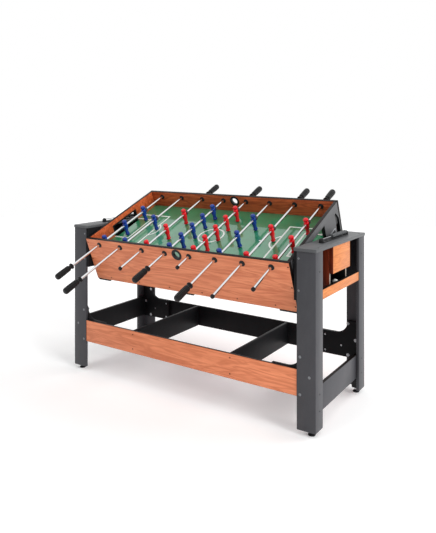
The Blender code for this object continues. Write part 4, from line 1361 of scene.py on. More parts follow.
@dataclass
class Figure:
    """A moulded player: a plain rounded head, arms held down, shorts, and a block foot."""

    # Height from the rod's axis, half depth, half width, shift forwards and squareness, in mm
    body_rings: Rings = (
        (-59.6, 7.6, 8.8, 0.8, 0.60),
        (-58.0, 10.0, 11.0, 1.0, 0.60),
        (-52.5, 11.6, 12.0, 1.2, 0.62),
        (-48.5, 9.8, 10.8, 0.8, 0.70),
        (-44.5, 8.4, 10.0, 0.0, 0.80),
        (-36.0, 9.2, 11.0, -0.6, 0.85),
        (-29.0, 9.2, 11.2, -0.4, 0.85),
        (-24.6, 9.6, 11.4, 0.0, 0.85),
        (-23.6, 11.4, 13.6, 0.0, 0.72),
        (-21.4, 11.8, 13.9, 0.0, 0.72),
        (-11.0, 11.6, 13.0, 0.0, 0.72),
        (-6.0, 12.4, 12.4, 0.0, 0.75),
        (3.0, 13.4, 12.6, 0.2, 0.78),
        (7.6, 12.9, 14.2, 0.2, 0.74),
        (10.4, 10.4, 12.8, 0.0, 0.80),
        (12.0, 7.8, 8.6, 0.0, 0.95),
        (12.8, 7.2, 7.6, 0.2, 1.00),
        (14.2, 10.4, 10.0, 0.5, 1.00),
        (18.4, 13.8, 13.4, 0.5, 1.00),
        (24.0, 14.6, 14.2, 0.3, 1.00),
        (29.6, 12.4, 12.0, 0.1, 1.00),
        (33.4, 6.8, 6.6, 0.0, 1.00),
    )
    arm_rings: Rings = (
        (-13.4, 2.0, 1.7, 4.8, 1.0),
        (-11.0, 3.8, 2.9, 4.4, 1.0),
        (-4.0, 4.0, 3.1, 2.5, 1.0),
        (2.0, 4.8, 3.5, 0.6, 1.0),
        (7.4, 5.6, 3.8, 0.0, 1.0),
        (10.6, 4.8, 3.2, 0.0, 1.0),
        (12.4, 2.2, 1.7, 0.0, 1.0),
    )
    arm_offset_mm: float = 14.0
    # The groove between the legs spans these heights, in mm, and leaves this share of the depth
    legs_mm: tuple[float, float] = (-57.0, -24.0)
    groove_share: float = 0.6

    def limb(self, rings: Rings, sides: int, across: float, facing: int, grooved: bool = False) -> BMesh:
        """One limb or trunk, about the rod's axis.

        Args:
            rings: its sections, from its lower end.
            sides: how many sides each section has.
            across: its shift along the rod, in mm.
            facing: the way that the player faces along X, 1 or -1.
            grooved: whether the legs are parted by a groove.

        Returns:
            The limb.
        """

        def place(number: int, _: int, direction: Vector) -> Vector:
            """Squares a point of a section's circle and stretches it to the section's size."""
            height, deep, wide, shift, square = rings[number]
            u, v = (copysign(abs(w) ** square, w) if abs(w) > 0.001 else 0 for w in direction.xy)
            parted = grooved and abs(v) < 0.01 and self.legs_mm[0] < height < self.legs_mm[1]
            out = shift + u * deep * (self.groove_share if parted else 1)
            return Vector((facing * out, across + v * wide, height)) * MM

        return stacked(sides, len(rings), place)

    def add(self, form: Form, along: float, facing: int) -> None:
        """Adds one player to the form.

        Args:
            form: the rod's players.
            along: where on the rod the player stands.
            facing: the way that it faces along X.
        """
        place = Matrix.Translation((0, along, 0))
        form.take(self.limb(self.body_rings, 12, 0, facing, True), place=place)
        for hand in (-1, 1):
            form.take(self.limb(self.arm_rings, 6, hand * self.arm_offset_mm, facing), place=place)


@dataclass
class Rod:
    """One rod: chromed tube, players, collar, bumper, grip and end cap."""

    number: int
    team: Team
    men: int
    shell: Shell
    figure: Figure
    radius: float = 0.00635
    ease: float = 0.0008
    # How far the tube reaches into the grip and the end cap, and the gap round it there
    hidden: float = 0.004
    moulded_gap: float = 0.0002
    man_width: float = 0.030
    # The screw in a player's back: how far behind the axis and below it, its radius and its height
    screw_back: float = 0.0110
    screw_drop: float = 0.0005
    screw_radius: float = 0.0024
    screw_proud: float = 0.0008
    bumper_length: float = 0.012
    bumper_radius: float = 0.0125
    bumper_gap: float = 0.0006
    bumper_ease: float = 0.0016
    # The groove round a bumper, as depths and distances from its inner end
    bumper_groove: Outline = ((0.0, 0.0040), (0.0014, 0.0052), (0.0014, 0.0064), (0.0, 0.0076))
    collar_ease: float = 0.002
    collar_gap: float = 0.0001
    grip_reach: float = 0.160
    grip_length: float = 0.110
    # The grip's guard, as radii and distances from the grip's inner end
    guard: Outline = (
        (0.0136, 0.0), (0.0155, 0.0012), (0.0158, 0.0034), (0.0150, 0.0056), (0.0120, 0.0072),
        (0.0100, 0.0088), (0.0097, 0.0150), (0.0104, 0.0200),
    )
    # The grip's sections: the share of its length that each is at, its radius and its flutes' depth
    grip_sections: tuple[tuple[float, float, float], ...] = (
        (0.170, 0.0100, 0.0), (0.186, 0.0126, 0.0), (0.206, 0.0144, 0.0), (0.236, 0.0152, 0.0013),
        (0.400, 0.0157, 0.0016), (0.408, 0.0145, 0.0), (0.426, 0.0145, 0.0), (0.434, 0.0158, 0.0016),
        (0.650, 0.0163, 0.0016), (0.658, 0.0149, 0.0), (0.676, 0.0149, 0.0), (0.684, 0.0164, 0.0016),
        (0.900, 0.0164, 0.0014), (0.936, 0.0158, 0.0006), (0.952, 0.0154, 0.0), (0.976, 0.0140, 0.0),
        (0.992, 0.0118, 0.0), (1.000, 0.0092, 0.0),
    )
    ribs: int = 12
    tail_reach: float = 0.017
    cap_length: float = 0.012
    cap_radius: float = 0.0095
    cap_hollow: float = 0.0085
    # The end cap's two rims, as distances in from its radius and from its ends
    cap_mouth: Outline = ((0.0012, 0.0), (0.0, 0.0014))
    cap_crown: Outline = ((0.0, 0.0030), (0.0010, 0.0010), (0.0030, 0.0))

    @property
    def name(self) -> str:
        """The rod's name, which is its body's too."""
        return f"rod_{self.number}"

    @property
    def grip_side(self) -> int:
        """The side that the grip is on: -1 for the front, 1 for the rear."""
        return -1 if self.team is BLUE else 1

    @property
    def half_span(self) -> float:
        """From the middle of the rod's players to its outermost one."""
        return (self.men - 1) / 2 * SPACING_SHARES[self.men] * 2 * self.shell.inner_y

    @property
    def reach(self) -> float:
        """How far the rod slides each way from the middle of the field."""
        stop = self.shell.inner_y - self.shell.flange_thick - FIT - self.bumper_length
        return stop - self.man_width / 2 - self.half_span

    @property
    def place(self) -> Matrix:
        """Where the rod's own axes lie at rest."""
        x, _, z = self.shell.rod_places[self.number - 1]
        return CABINET.place @ Matrix.Translation((x, -self.reach, z))

    @property
    def carrier(self) -> Carrier:
        """The rod's body, with its place."""
        return Carrier(self.name, self.place)

    @property
    def grip_end(self) -> float:
        """How far along the rod its grip's end is."""
        return self.shell.half_width + self.grip_reach + self.reach

    @property
    def tail_end(self) -> float:
        """How far along the rod its other end is."""
        return self.shell.half_width + self.tail_reach + self.reach

    def shaft(self) -> None:
        """The chromed tube, from inside the grip to inside the end cap."""
        near, far = self.grip_end - self.grip_length + self.hidden, self.tail_end - self.hidden
        start, end = self.grip_side * near, -self.grip_side * far
        form = Form().tube(self.radius, start, end, Axis.Y, ease=self.ease, steps=40)
        solid = f"{self.name}_with_players"
        form.settle(f"{self.name}_tube", self.carrier, "plated_steel", (CHROME,), solid)

    def players(self) -> None:
        """The moulded players, and the screw that pins each one to the rod."""
        form, screws = Form(), Form()
        step, facing = 2 * self.half_span / (self.men - 1), self.team.facing
        for k in range(self.men):
            along = step * k - self.half_span
            self.figure.add(form, along, facing)
            at = (-facing * self.screw_back, along, -self.screw_drop)
            add_screw(screws, at, Axis.X, -facing, self.screw_radius, self.screw_proud)
        name, carrier, finishes = f"{self.name}_players", self.carrier, (self.team.finish,)
        form.settle(name, carrier, self.team.slot, finishes, f"{self.name}_with_players", rounding=2)
        screws.settle(f"{self.name}_player_screws", carrier, "plated_steel", (ZINC,))

    def fittings(self) -> None:
        """The ribbed hand grip with its guard, the end cap and the fixed collar by a player."""
        side, bore = self.grip_side, self.radius + self.moulded_gap
        start = self.grip_end - self.grip_length
        guard = [(bore, start), *((r, start + z) for r, z in self.guard)]
        guard.append((bore, guard[-1][1]))
        form = Form().turned(guard, 32, Axis.Y, facing=side)

        def place(number: int, corner: int, direction: Vector) -> Vector:
            """Puts a point of a section on a rib or, for two corners in four, in a flute."""
            share, radius, depth = self.grip_sections[number]
            out, along = radius - (depth if corner % 4 < 2 else 0), start + share * self.grip_length
            return Vector((direction.x * out, side * along, direction.y * out))

        form.take(stacked(self.ribs * 4, len(self.grip_sections), place))
        start, end, rim = self.tail_end - self.cap_length, self.tail_end, self.cap_radius
        cap = [(0, start + self.cap_hollow), (bore, start)]
        cap += [(rim - r, start + z) for r, z in self.cap_mouth]
        cap += [(rim - r, end - z) for r, z in self.cap_crown] + [(0, end)]
        form.turned(cap, 28, Axis.Y, facing=-side)
        near, ease, rim = self.half_span + self.man_width / 2, self.collar_ease, self.bumper_radius
        half = [(self.radius + self.collar_gap, 0), (rim - ease, 0), (rim, -ease)]
        form.turned(mirrored(half, -near - self.bumper_length, -near), 32, Axis.Y)
        name, solid = f"{self.name}_grip_and_cap", f"{self.name}_with_players"
        form.settle(name, self.carrier, "black_plastic", (GRIP_BLACK,), solid)

    def bumper(self) -> None:
        """The loose rubber ring that softens the rod's stop at the rear wall."""
        near = self.half_span + self.man_width / 2 + FIT
        far, rim, ease = near + self.bumper_length - FIT, self.bumper_radius, self.bumper_ease
        half = [(self.radius + self.bumper_gap, 0), (rim - ease, 0), (rim, -ease)]
        ends = mirrored(half, near, far)
        groove = [(rim - depth, near + along) for depth, along in self.bumper_groove]
        form = Form().turned([*ends[:3], *groove, *ends[3:]], 32, Axis.Y)
        carrier, solid = Carrier(f"{self.name}_slider", self.place), f"{self.name}_bumper"
        form.settle(f"{self.name}_rubber_ring", carrier, "black_rubber", (RUBBER,), solid)

    def build(self) -> None:
        """Builds every piece of the rod."""
        self.shaft()
        self.players()
        self.fittings()
        self.bumper()


# Pedestals and lower frame


@dataclass
class Pedestals:
    """The two ends that the cabinet hangs between, and the rails that join them."""

    shell: Shell
    swing_gap: float = 0.009
    board: float = 0.015
    ease: float = 0.0010
    rail_ease: float = 0.0009
    thin_ease: float = 0.0008
    half_width: float = 0.305
    leg_front: float = 0.088
    leg_side: float = 0.078
    leg_bottom: float = 0.022
    leg_top: float = 0.7857
    leg_ease: float = 0.0016
    block: float = 0.034
    block_height: float = 0.040
    block_ease: float = 0.0015
    # A levelling foot's pad, as radii and heights, and its nut's and stem's sizes
    pad: Outline = (
        (0, 0.0), (0.0150, 0.0), (0.0165, 0.0012), (0.0165, 0.0046), (0.0150, 0.0066),
        (0.0105, 0.0088), (0.0080, 0.0092), (0.0080, 0.0130), (0, 0.0130),
    )
    nut_radius: float = 0.0095
    nut_ends: tuple[float, float] = (0.0132, 0.0216)
    nut_ease: tuple[float, float] = (0.0007, 0.0008)
    stem_radius: float = 0.0040
    stem_ends: tuple[float, float] = (0.0125, 0.0560)
    cap_top: float = 0.800
    cap_thick: float = 0.014
    cap_overhang: float = 0.004
    cap_setback: float = 0.001
    cap_corner: float = 0.0055
    cap_rim: float = 0.0015
    panel_bottom: float = 0.573
    panel_inset: float = 0.005
    notch_half: float = 0.100
    notch_bottom: float = 0.7453
    stub_hole: float = 0.0083
    stub_radius: float = 0.008
    hub_half: float = 0.030
    hub_cut: float = 0.008
    hub_drop: float = 0.034
    hub_thick: float = 0.006
    disc_radius: float = 0.012
    disc_proud: float = 0.0005
    # The hub's screws: how far out, above its lower edge and below its upper one, and their size
    hub_screws: tuple[float, float, float] = (0.021, 0.012, 0.007)
    hub_screw: tuple[float, float] = (0.0038, 0.0009)
    # The lock pin's shaft and sleeve: radii, and how far in and along each is eased
    pin_radius: float = 0.0040
    pin_ease: tuple[float, float] = (0.0008, 0.0012)
    pin_sleeve: float = 0.0070
    pin_sleeve_length: float = 0.012
    sleeve_ease: tuple[float, float] = (0.0004, 0.0006)
    sleeve_crown: tuple[float, float] = (0.0010, 0.0004)
    # The knob, as radii and distances past its sleeve
    knob: Outline = (
        (0, -0.0004), (0.0085, -0.0004), (0.0104, 0.0016), (0.0100, 0.0040), (0.0100, 0.0130),
        (0.0109, 0.0160), (0.0095, 0.0180), (0, 0.0180),
    )
    end_inset: float = 0.002
    box_half: float = 0.106
    box_wall: float = 0.013
    front_thick: float = 0.018
    front_height: float = 0.123
    tray_top: float = 0.583
    tray_thick: float = 0.008
    tray_lap: float = 0.0005
    rail_top: float = 0.616
    long_rail_bottom: float = 0.163
    long_rail_height: float = 0.116
    long_rail_thick: float = 0.012
    # Where the lower end rails start, at the left and at the right
    end_rail_bottoms: tuple[float, float] = (0.168, 0.083)
    cross_offset: float = 0.295
    gusset_length: float = 0.200
    gusset_post: float = 0.060
    gusset_height: float = 0.187
    gusset_ledge: float = 0.002
    gusset_steps: int = 16
    # Fasteners as places along the table and heights, then the heads' radii and heights
    leg_bolts: Outline = ((0.648, 0.335), (0.691, 0.255), (0.648, 0.174))
    leg_bolt: tuple[float, float] = (0.0048, 0.0022)
    panel_screws: Outline = ((0.642, 0.755), (0.642, 0.618))
    cross_nuts: Outline = ((0.645, 0.335), (0.685, 0.255), (0.645, 0.175))
    cross_nut: tuple[float, float] = (0.0060, 0.0040)
    gusset_screws: Outline = ((0.610, 0.218), (0.523, 0.260), (0.523, 0.180))
    wide_screw: float = 0.0045
    gusset_screw_proud: float = 0.0010
    rail_screws_z: tuple[float, float] = (0.260, 0.185)
    cap_screw_y: float = 0.2545
    cap_screws_in: tuple[float, float] = (0.010, 0.0085)
    end_screw_y: float = 0.262
    end_screw_reach: float = 0.036
    top_screw_z: float = 0.7

    @property
    def panel_in(self) -> float:
        """Inner face of the inner panel."""
        return self.shell.half_length + self.swing_gap

    @property
    def panel_out(self) -> float:
        """Outer face of the inner panel."""
        return self.panel_in + self.board

    @property
    def leg_out(self) -> float:
        """Outer face of a leg's side plate."""
        return self.panel_out + self.leg_front

    @property
    def leg_in(self) -> float:
        """Inner face of a leg's side plate."""
        return self.leg_out - self.board

    def leg(self, end: End, row: Row) -> None:
        """An L section leg, its corner mitred and eased, with the block that holds its foot.

        Args:
            end: the end that it stands at.
            row: the side that it is on.
        """
        side, face = end.value, row.value
        y_out, y_in = face * self.half_width, face * (self.half_width - self.board)
        near, out, inside = side * (self.panel_out + FIT), side * self.leg_out, side * self.leg_in
        flank = face * (self.half_width - self.leg_side)
        outline = [(near, y_out), (out, y_out), (out, flank), (inside, flank)]
        outline += [(inside, y_in), (near, y_in)]
        form = Form().prism(outline, Axis.Z, self.leg_bottom, self.leg_top, self.leg_ease)
        low = (side * (self.leg_in - self.block), y_in - face * self.block, self.leg_bottom + SUNK)
        high = (side * (self.leg_in + SUNK), y_in + face * SUNK, self.leg_bottom + self.block_height)
        form.board(low, high, self.block_ease, 1)
        name = f"leg_{row}_{end}"
        form.settle(f"{name}_post", FRAME, "leg_laminate", (LEG_FOIL, BLACK_ABS), name)

    def foot(self, end: End, row: Row) -> None:
        """A levelling foot: stepped pad, nut and stem.

        Args:
            end: the end that it stands at.
            row: the side that it is on.
        """
        x = end.value * (self.leg_in - self.block / 2)
        at = (x, row.value * (self.half_width - self.board - self.block / 2), 0)
        across, down = self.nut_ease
        nut = mirrored([(0, 0), (self.nut_radius - across, 0), (self.nut_radius, -down)], *self.nut_ends)
        form = Form().turned(self.pad, 32, Axis.Z, at).turned(nut, 6, Axis.Z, at, 1)
        form.tube(self.stem_radius, *self.stem_ends, Axis.Z, at, finish=1)
        name = f"levelling_foot_{row}_{end}"
        carrier = Carrier(name, FRAME.place)
        form.settle(f"{name}_pad", carrier, "black_plastic", (BLACK_ABS, ZINC), name)

    def cap(self, end: End) -> None:
        """The board on a pedestal's top, with rounded corners and eased edges.

        Args:
            end: the pedestal's end.
        """
        near, far = self.panel_in + self.cap_setback, self.leg_out + self.cap_overhang
        y = self.half_width + self.cap_overhang
        low, high = (end.value * near, -y, self.cap_top - self.cap_thick), (end.value * far, y)
        part = Form().board(low, (*high, self.cap_top), 0).bm
        for upright, width, segments in ((True, self.cap_corner, 4), (False, self.cap_rim, 2)):
            edges = [
                edge
                for edge in part.edges
                if edge.calc_face_angle(0) > SHARP_ANGLE
                and (abs(edge.verts[0].co.z - edge.verts[1].co.z) > self.cap_thick / 2) == upright
            ]
            bevel(part, edges, width, segments)
        for face in part.faces:
            face.smooth = abs(face.normal.z) < 0.999
        # The cap takes the lighter charcoal, painted light on its top
        name = f"pedestal_cap_{end}"
        Form().take(part).settle(f"{name}_board", FRAME, "leg_laminate", (CAP_FOIL_PAINTED_LIGHT,), name)

    def inner_panel(self, end: End) -> None:
        """The board that carries the pivot, notched for the ball's way out.

        Args:
            end: the pedestal's end.
        """
        near, far = end.value * self.panel_in, end.value * self.panel_out
        y = self.half_width - self.panel_inset
        form = Form().board((near, -y, self.panel_bottom), (far, y, self.leg_top), self.ease)
        through = before, beyond = near - end.value * OVERRUN, far + end.value * OVERRUN
        low = (before, -self.notch_half, self.notch_bottom)
        cuts = Form().board(low, (beyond, self.notch_half, self.leg_top + OVERRUN), 0)
        cuts.tube(self.stub_hole, *through, Axis.X, (0, 0, PIVOT.z), steps=24)
        pin = (0, self.shell.pin_offset, PIVOT.z)
        cuts.tube(self.shell.pin_bore, *through, Axis.X, pin, steps=20)
        name = f"inner_panel_{end}"
        form.carve(cuts).settle(f"{name}_board", FRAME, "dark_board", (BLACK_BOARD,), name)

    def hub(self, end: End) -> None:
        """The pivot's plate with its four screws, and the stub shaft that the cabinet turns on.

        Args:
            end: the pedestal's end.
        """
        side, at = end.value, (0, 0, PIVOT.z)
        face = side * (self.panel_out + FIT)
        back = face + side * self.hub_thick
        bottom, top = PIVOT.z - self.hub_drop, self.notch_bottom - FIT
        wide, cut = self.hub_half, self.hub_cut
        outline = [
            (-wide, bottom + cut), (cut - wide, bottom), (wide - cut, bottom), (wide, bottom + cut),
            (wide, top), (-wide, top),
        ]
        form = Form().prism(outline, Axis.X, face, back, self.thin_ease)
        tip = side * (self.shell.inner_x - self.shell.boss_length)
        form.tube(self.stub_radius, tip, face + side * SUNK, Axis.X, at, self.ease, 28)
        form.tube(self.disc_radius, back - side * SUNK, back + side * self.disc_proud, Axis.X, at)
        out, above, below = self.hub_screws
        for y in (-out, out):
            for z in (bottom + above, top - below):
                add_screw(form, (back, y, z), Axis.X, side, *self.hub_screw)
        name = f"pivot_hub_{end}"
        form.settle(f"{name}_plate", FRAME, "plated_steel", (ZINC,), name)

    def lock_pin(self, end: End) -> None:
        """The sprung pin that holds the cabinet level, with its faceted knob.

        Args:
            end: the pedestal's end.
        """
        tip, collar = self.shell.half_length + FIT, self.panel_out + FIT
        stop = collar + self.pin_sleeve_length
        pin, sleeve = self.pin_radius, self.pin_sleeve
        (tip_in, tip_along), (rim_in, rim_along), (crown_in, crown_along) = (
            self.pin_ease, self.sleeve_ease, self.sleeve_crown
        )
        profile = [
            (0, tip), (pin - tip_in, tip), (pin, tip + tip_along), (pin, collar),
            (sleeve - rim_in, collar), (sleeve, collar + rim_along), (sleeve, stop - crown_along),
            (sleeve - crown_in, stop), (0, stop),
        ]
        at, knob = (0, self.shell.pin_offset, PIVOT.z), [(r, stop + x) for r, x in self.knob]
        form = Form().turned(profile, 24, Axis.X, at, facing=end.value)
        form.turned(knob, 14, Axis.X, at, 1, end.value)
        name = f"lock_pin_{end}"
        carrier = Carrier(name, FRAME.place)
        form.settle(f"{name}_and_knob", carrier, "plated_steel", (ZINC, BLACK_ABS), name)

    def ball_box(self, end: End) -> None:
        """The ball return: two veneered walls, a black tray and a front board.

        Args:
            end: the pedestal's end.
        """
        side, face = end.value, end.value * (self.leg_out - self.end_inset)
        near, far = side * (self.panel_out + FIT), face - side * (self.front_thick + FIT)
        form = Form()
        for row in Row:
            low = (near, row.value * self.box_half, self.panel_bottom)
            high = (far, row.value * (self.box_half - self.box_wall), self.leg_top)
            form.board(low, high, sides={**end.faces(1, 0), **row.faces(0, 2)})
        inside, bottom = self.box_half - self.box_wall + self.tray_lap, self.tray_top - self.tray_thick
        form.board((near, -inside, bottom), (far, inside, self.tray_top), 0, 2)
        # The walls' outer faces take the cherry foil darkened to brown, painted shade of the recess
        finishes, name = (CHERRY_WALL_PAINTED_SHADE, PALE_EDGE, BLACK_BOARD), f"ball_box_{end}"
        form.settle(f"{name}_walls", FRAME, "brown_veneer", finishes, name)
        low = (face - side * self.front_thick, -self.box_half, self.leg_top - self.front_height)
        front = Form().board(low, (face, self.box_half, self.leg_top), self.ease, 1, end.faces(0, 2))
        # The front board's edges and side faces take the same dark brown painted shade
        finishes, name = (CHERRY_END, CHERRY_WALL_PAINTED_SHADE, BLACK_BOARD), f"ball_box_front_{end}"
        front.settle(f"{name}_board", FRAME, "orange_veneer", finishes, name)

    def rail(
        self, name: str, side: Side, low: Point, high: Point, ease: float, slot: str, foil: Finish
    ) -> None:
        """A rail: foil on its outer face, black edge band, black inside.

        Args:
            name: the CAD node that it stands for.
            side: the side of the table that it looks out at.
            low: one corner.
            high: the opposite corner.
            ease: how much its edges are rounded.
            slot: the record's material slot.
            foil: the finish of its outer face.
        """
        form = Form().board(low, high, ease, 1, side.faces(0, 2))
        form.settle(f"{name}_board", FRAME, slot, (foil, EDGE_BAND, BLACK_BOARD), name)

    def end_rails(self, end: End) -> None:
        """The rail under the ball box and the one between the legs' feet.

        Args:
            end: the pedestal's end.
        """
        face, y = end.value * (self.leg_out - self.end_inset), self.half_width - self.leg_side - FIT
        low, high = (face - end.value * self.board, -y, self.panel_bottom), (face, y, self.rail_top)
        self.rail(f"upper_end_rail_{end}", end, low, high, self.ease, "cherry_laminate", CHERRY_END)
        outer, y = end.value * (self.leg_in - FIT), self.half_width - 2 * self.board - 2 * FIT
        bottom = self.end_rail_bottoms[end is End.RIGHT]
        low = (outer - end.value * self.board, -y, bottom)
        high = (outer, y, bottom + self.long_rail_height)
        self.rail(f"lower_end_rail_{end}", end, low, high, self.ease, "leg_laminate", LEG_FOIL)

    def long_rail(self, row: Row) -> None:
        """A long lower rail.

        Args:
            row: the side that it is on.
        """
        inner, bottom = row.value * (self.half_width - self.board), self.long_rail_bottom
        low, outer = (-self.panel_out, inner, bottom), inner + row.value * self.long_rail_thick
        high = (self.panel_out, outer, bottom + self.long_rail_height)
        self.rail(f"long_rail_{row}", row, low, high, self.rail_ease, "cherry_laminate", CHERRY_RAIL)

    def cross_board(self, end: End) -> None:
        """An upright board between the long rails.

        Args:
            end: the end that it is nearer to.
        """
        middle, half = end.value * self.cross_offset, self.board / 2
        y, bottom = self.half_width - self.board - FIT, self.long_rail_bottom
        high = (middle + half, y, bottom + self.long_rail_height)
        form = Form().board((middle - half, -y, bottom), high, self.rail_ease)
        form.settle(f"cross_board_{end}_board", FRAME, "dark_board", (BLACK_BOARD,), f"cross_board_{end}")

    def gusset(self, end: End, row: Row) -> None:
        """A corner board that sweeps in a hollow curve from its post down to its ledge.

        Args:
            end: the end that it is at.
            row: the side that it is on.
        """
        outer, bottom = self.leg_in - FIT, self.long_rail_bottom
        inner, post = outer - self.gusset_length, outer - self.gusset_post
        ledge, top = bottom + self.long_rail_height + self.gusset_ledge, bottom + self.gusset_height
        outline = [(outer, bottom), (outer, top)]
        for step in range(self.gusset_steps + 1):
            angle = pi / 2 * step / self.gusset_steps
            outline.append((post - (top - ledge) * (1 - cos(angle)), top - (top - ledge) * sin(angle)))
        outline += [(inner, ledge), (inner, bottom)]
        outline = [(end.value * x, z) for x, z in outline]
        y = row.value * (self.half_width - self.board - FIT)
        form = Form().prism(outline, Axis.Y, y, y - row.value * self.board, self.thin_ease)
        name = f"gusset_{row}_{end}"
        form.settle(f"{name}_board", FRAME, "dark_board", (BLACK_BOARD,), name)

    def fasteners(self) -> None:
        """Bolts through the legs, nuts behind them and screws of the rails and caps."""
        screws, heads, nuts = Form(), Form(), Form()
        for side in (-1, 1):
            end_rail = self.end_rail_bottoms[side > 0] + self.long_rail_height / 2
            outer, inner = self.cap_screws_in
            for face in (-1, 1):
                out, rail = face * self.half_width, self.half_width - self.board + self.long_rail_thick
                y_in = face * (self.half_width - 2 * self.board - FIT)
                for x, z in self.leg_bolts:
                    add_bolt(heads, (side * x, out, z), Axis.Y, face, *self.leg_bolt)
                for x, z in self.panel_screws:
                    add_screw(heads, (side * x, out, z), Axis.Y, face, self.wide_screw)
                for x, z in self.cross_nuts:
                    add_bolt(nuts, (side * x, y_in, z), Axis.Y, -face, *self.cross_nut)
                for x, z in self.gusset_screws:
                    at = (side * x, y_in, z)
                    add_screw(nuts, at, Axis.Y, -face, self.wide_screw, self.gusset_screw_proud)
                for z in self.rail_screws_z:
                    add_screw(screws, (side * self.cross_offset, face * rail, z), Axis.Y, face)
                for x in (self.leg_out - outer, self.panel_in + inner):
                    add_screw(screws, (side * x, face * self.cap_screw_y, self.cap_top), Axis.Z, 1)
                reach = self.end_screw_reach
                for z in (end_rail - reach, end_rail + reach, self.top_screw_z):
                    add_screw(screws, (side * self.leg_out, face * self.end_screw_y, z), Axis.X, side)
        screws.settle("frame_screws", FRAME, "plated_steel", (BLACK_STEEL,))
        heads.settle("leg_bolt_heads", FRAME, "plated_steel", (DULL_ZINC,))
        nuts.settle("frame_cross_dowel_nuts", FRAME, "plated_steel", (ZINC,))

    def build(self) -> None:
        """Builds every piece of the pedestals and the lower frame."""
        for end in End:
            for row in Row:
                self.leg(end, row)
                self.foot(end, row)
                self.gusset(end, row)
            self.cap(end)
            self.inner_panel(end)
            self.hub(end)
            self.lock_pin(end)
            self.ball_box(end)
            self.end_rails(end)
            self.cross_board(end)
        for row in Row:
            self.long_rail(row)
        self.fasteners()


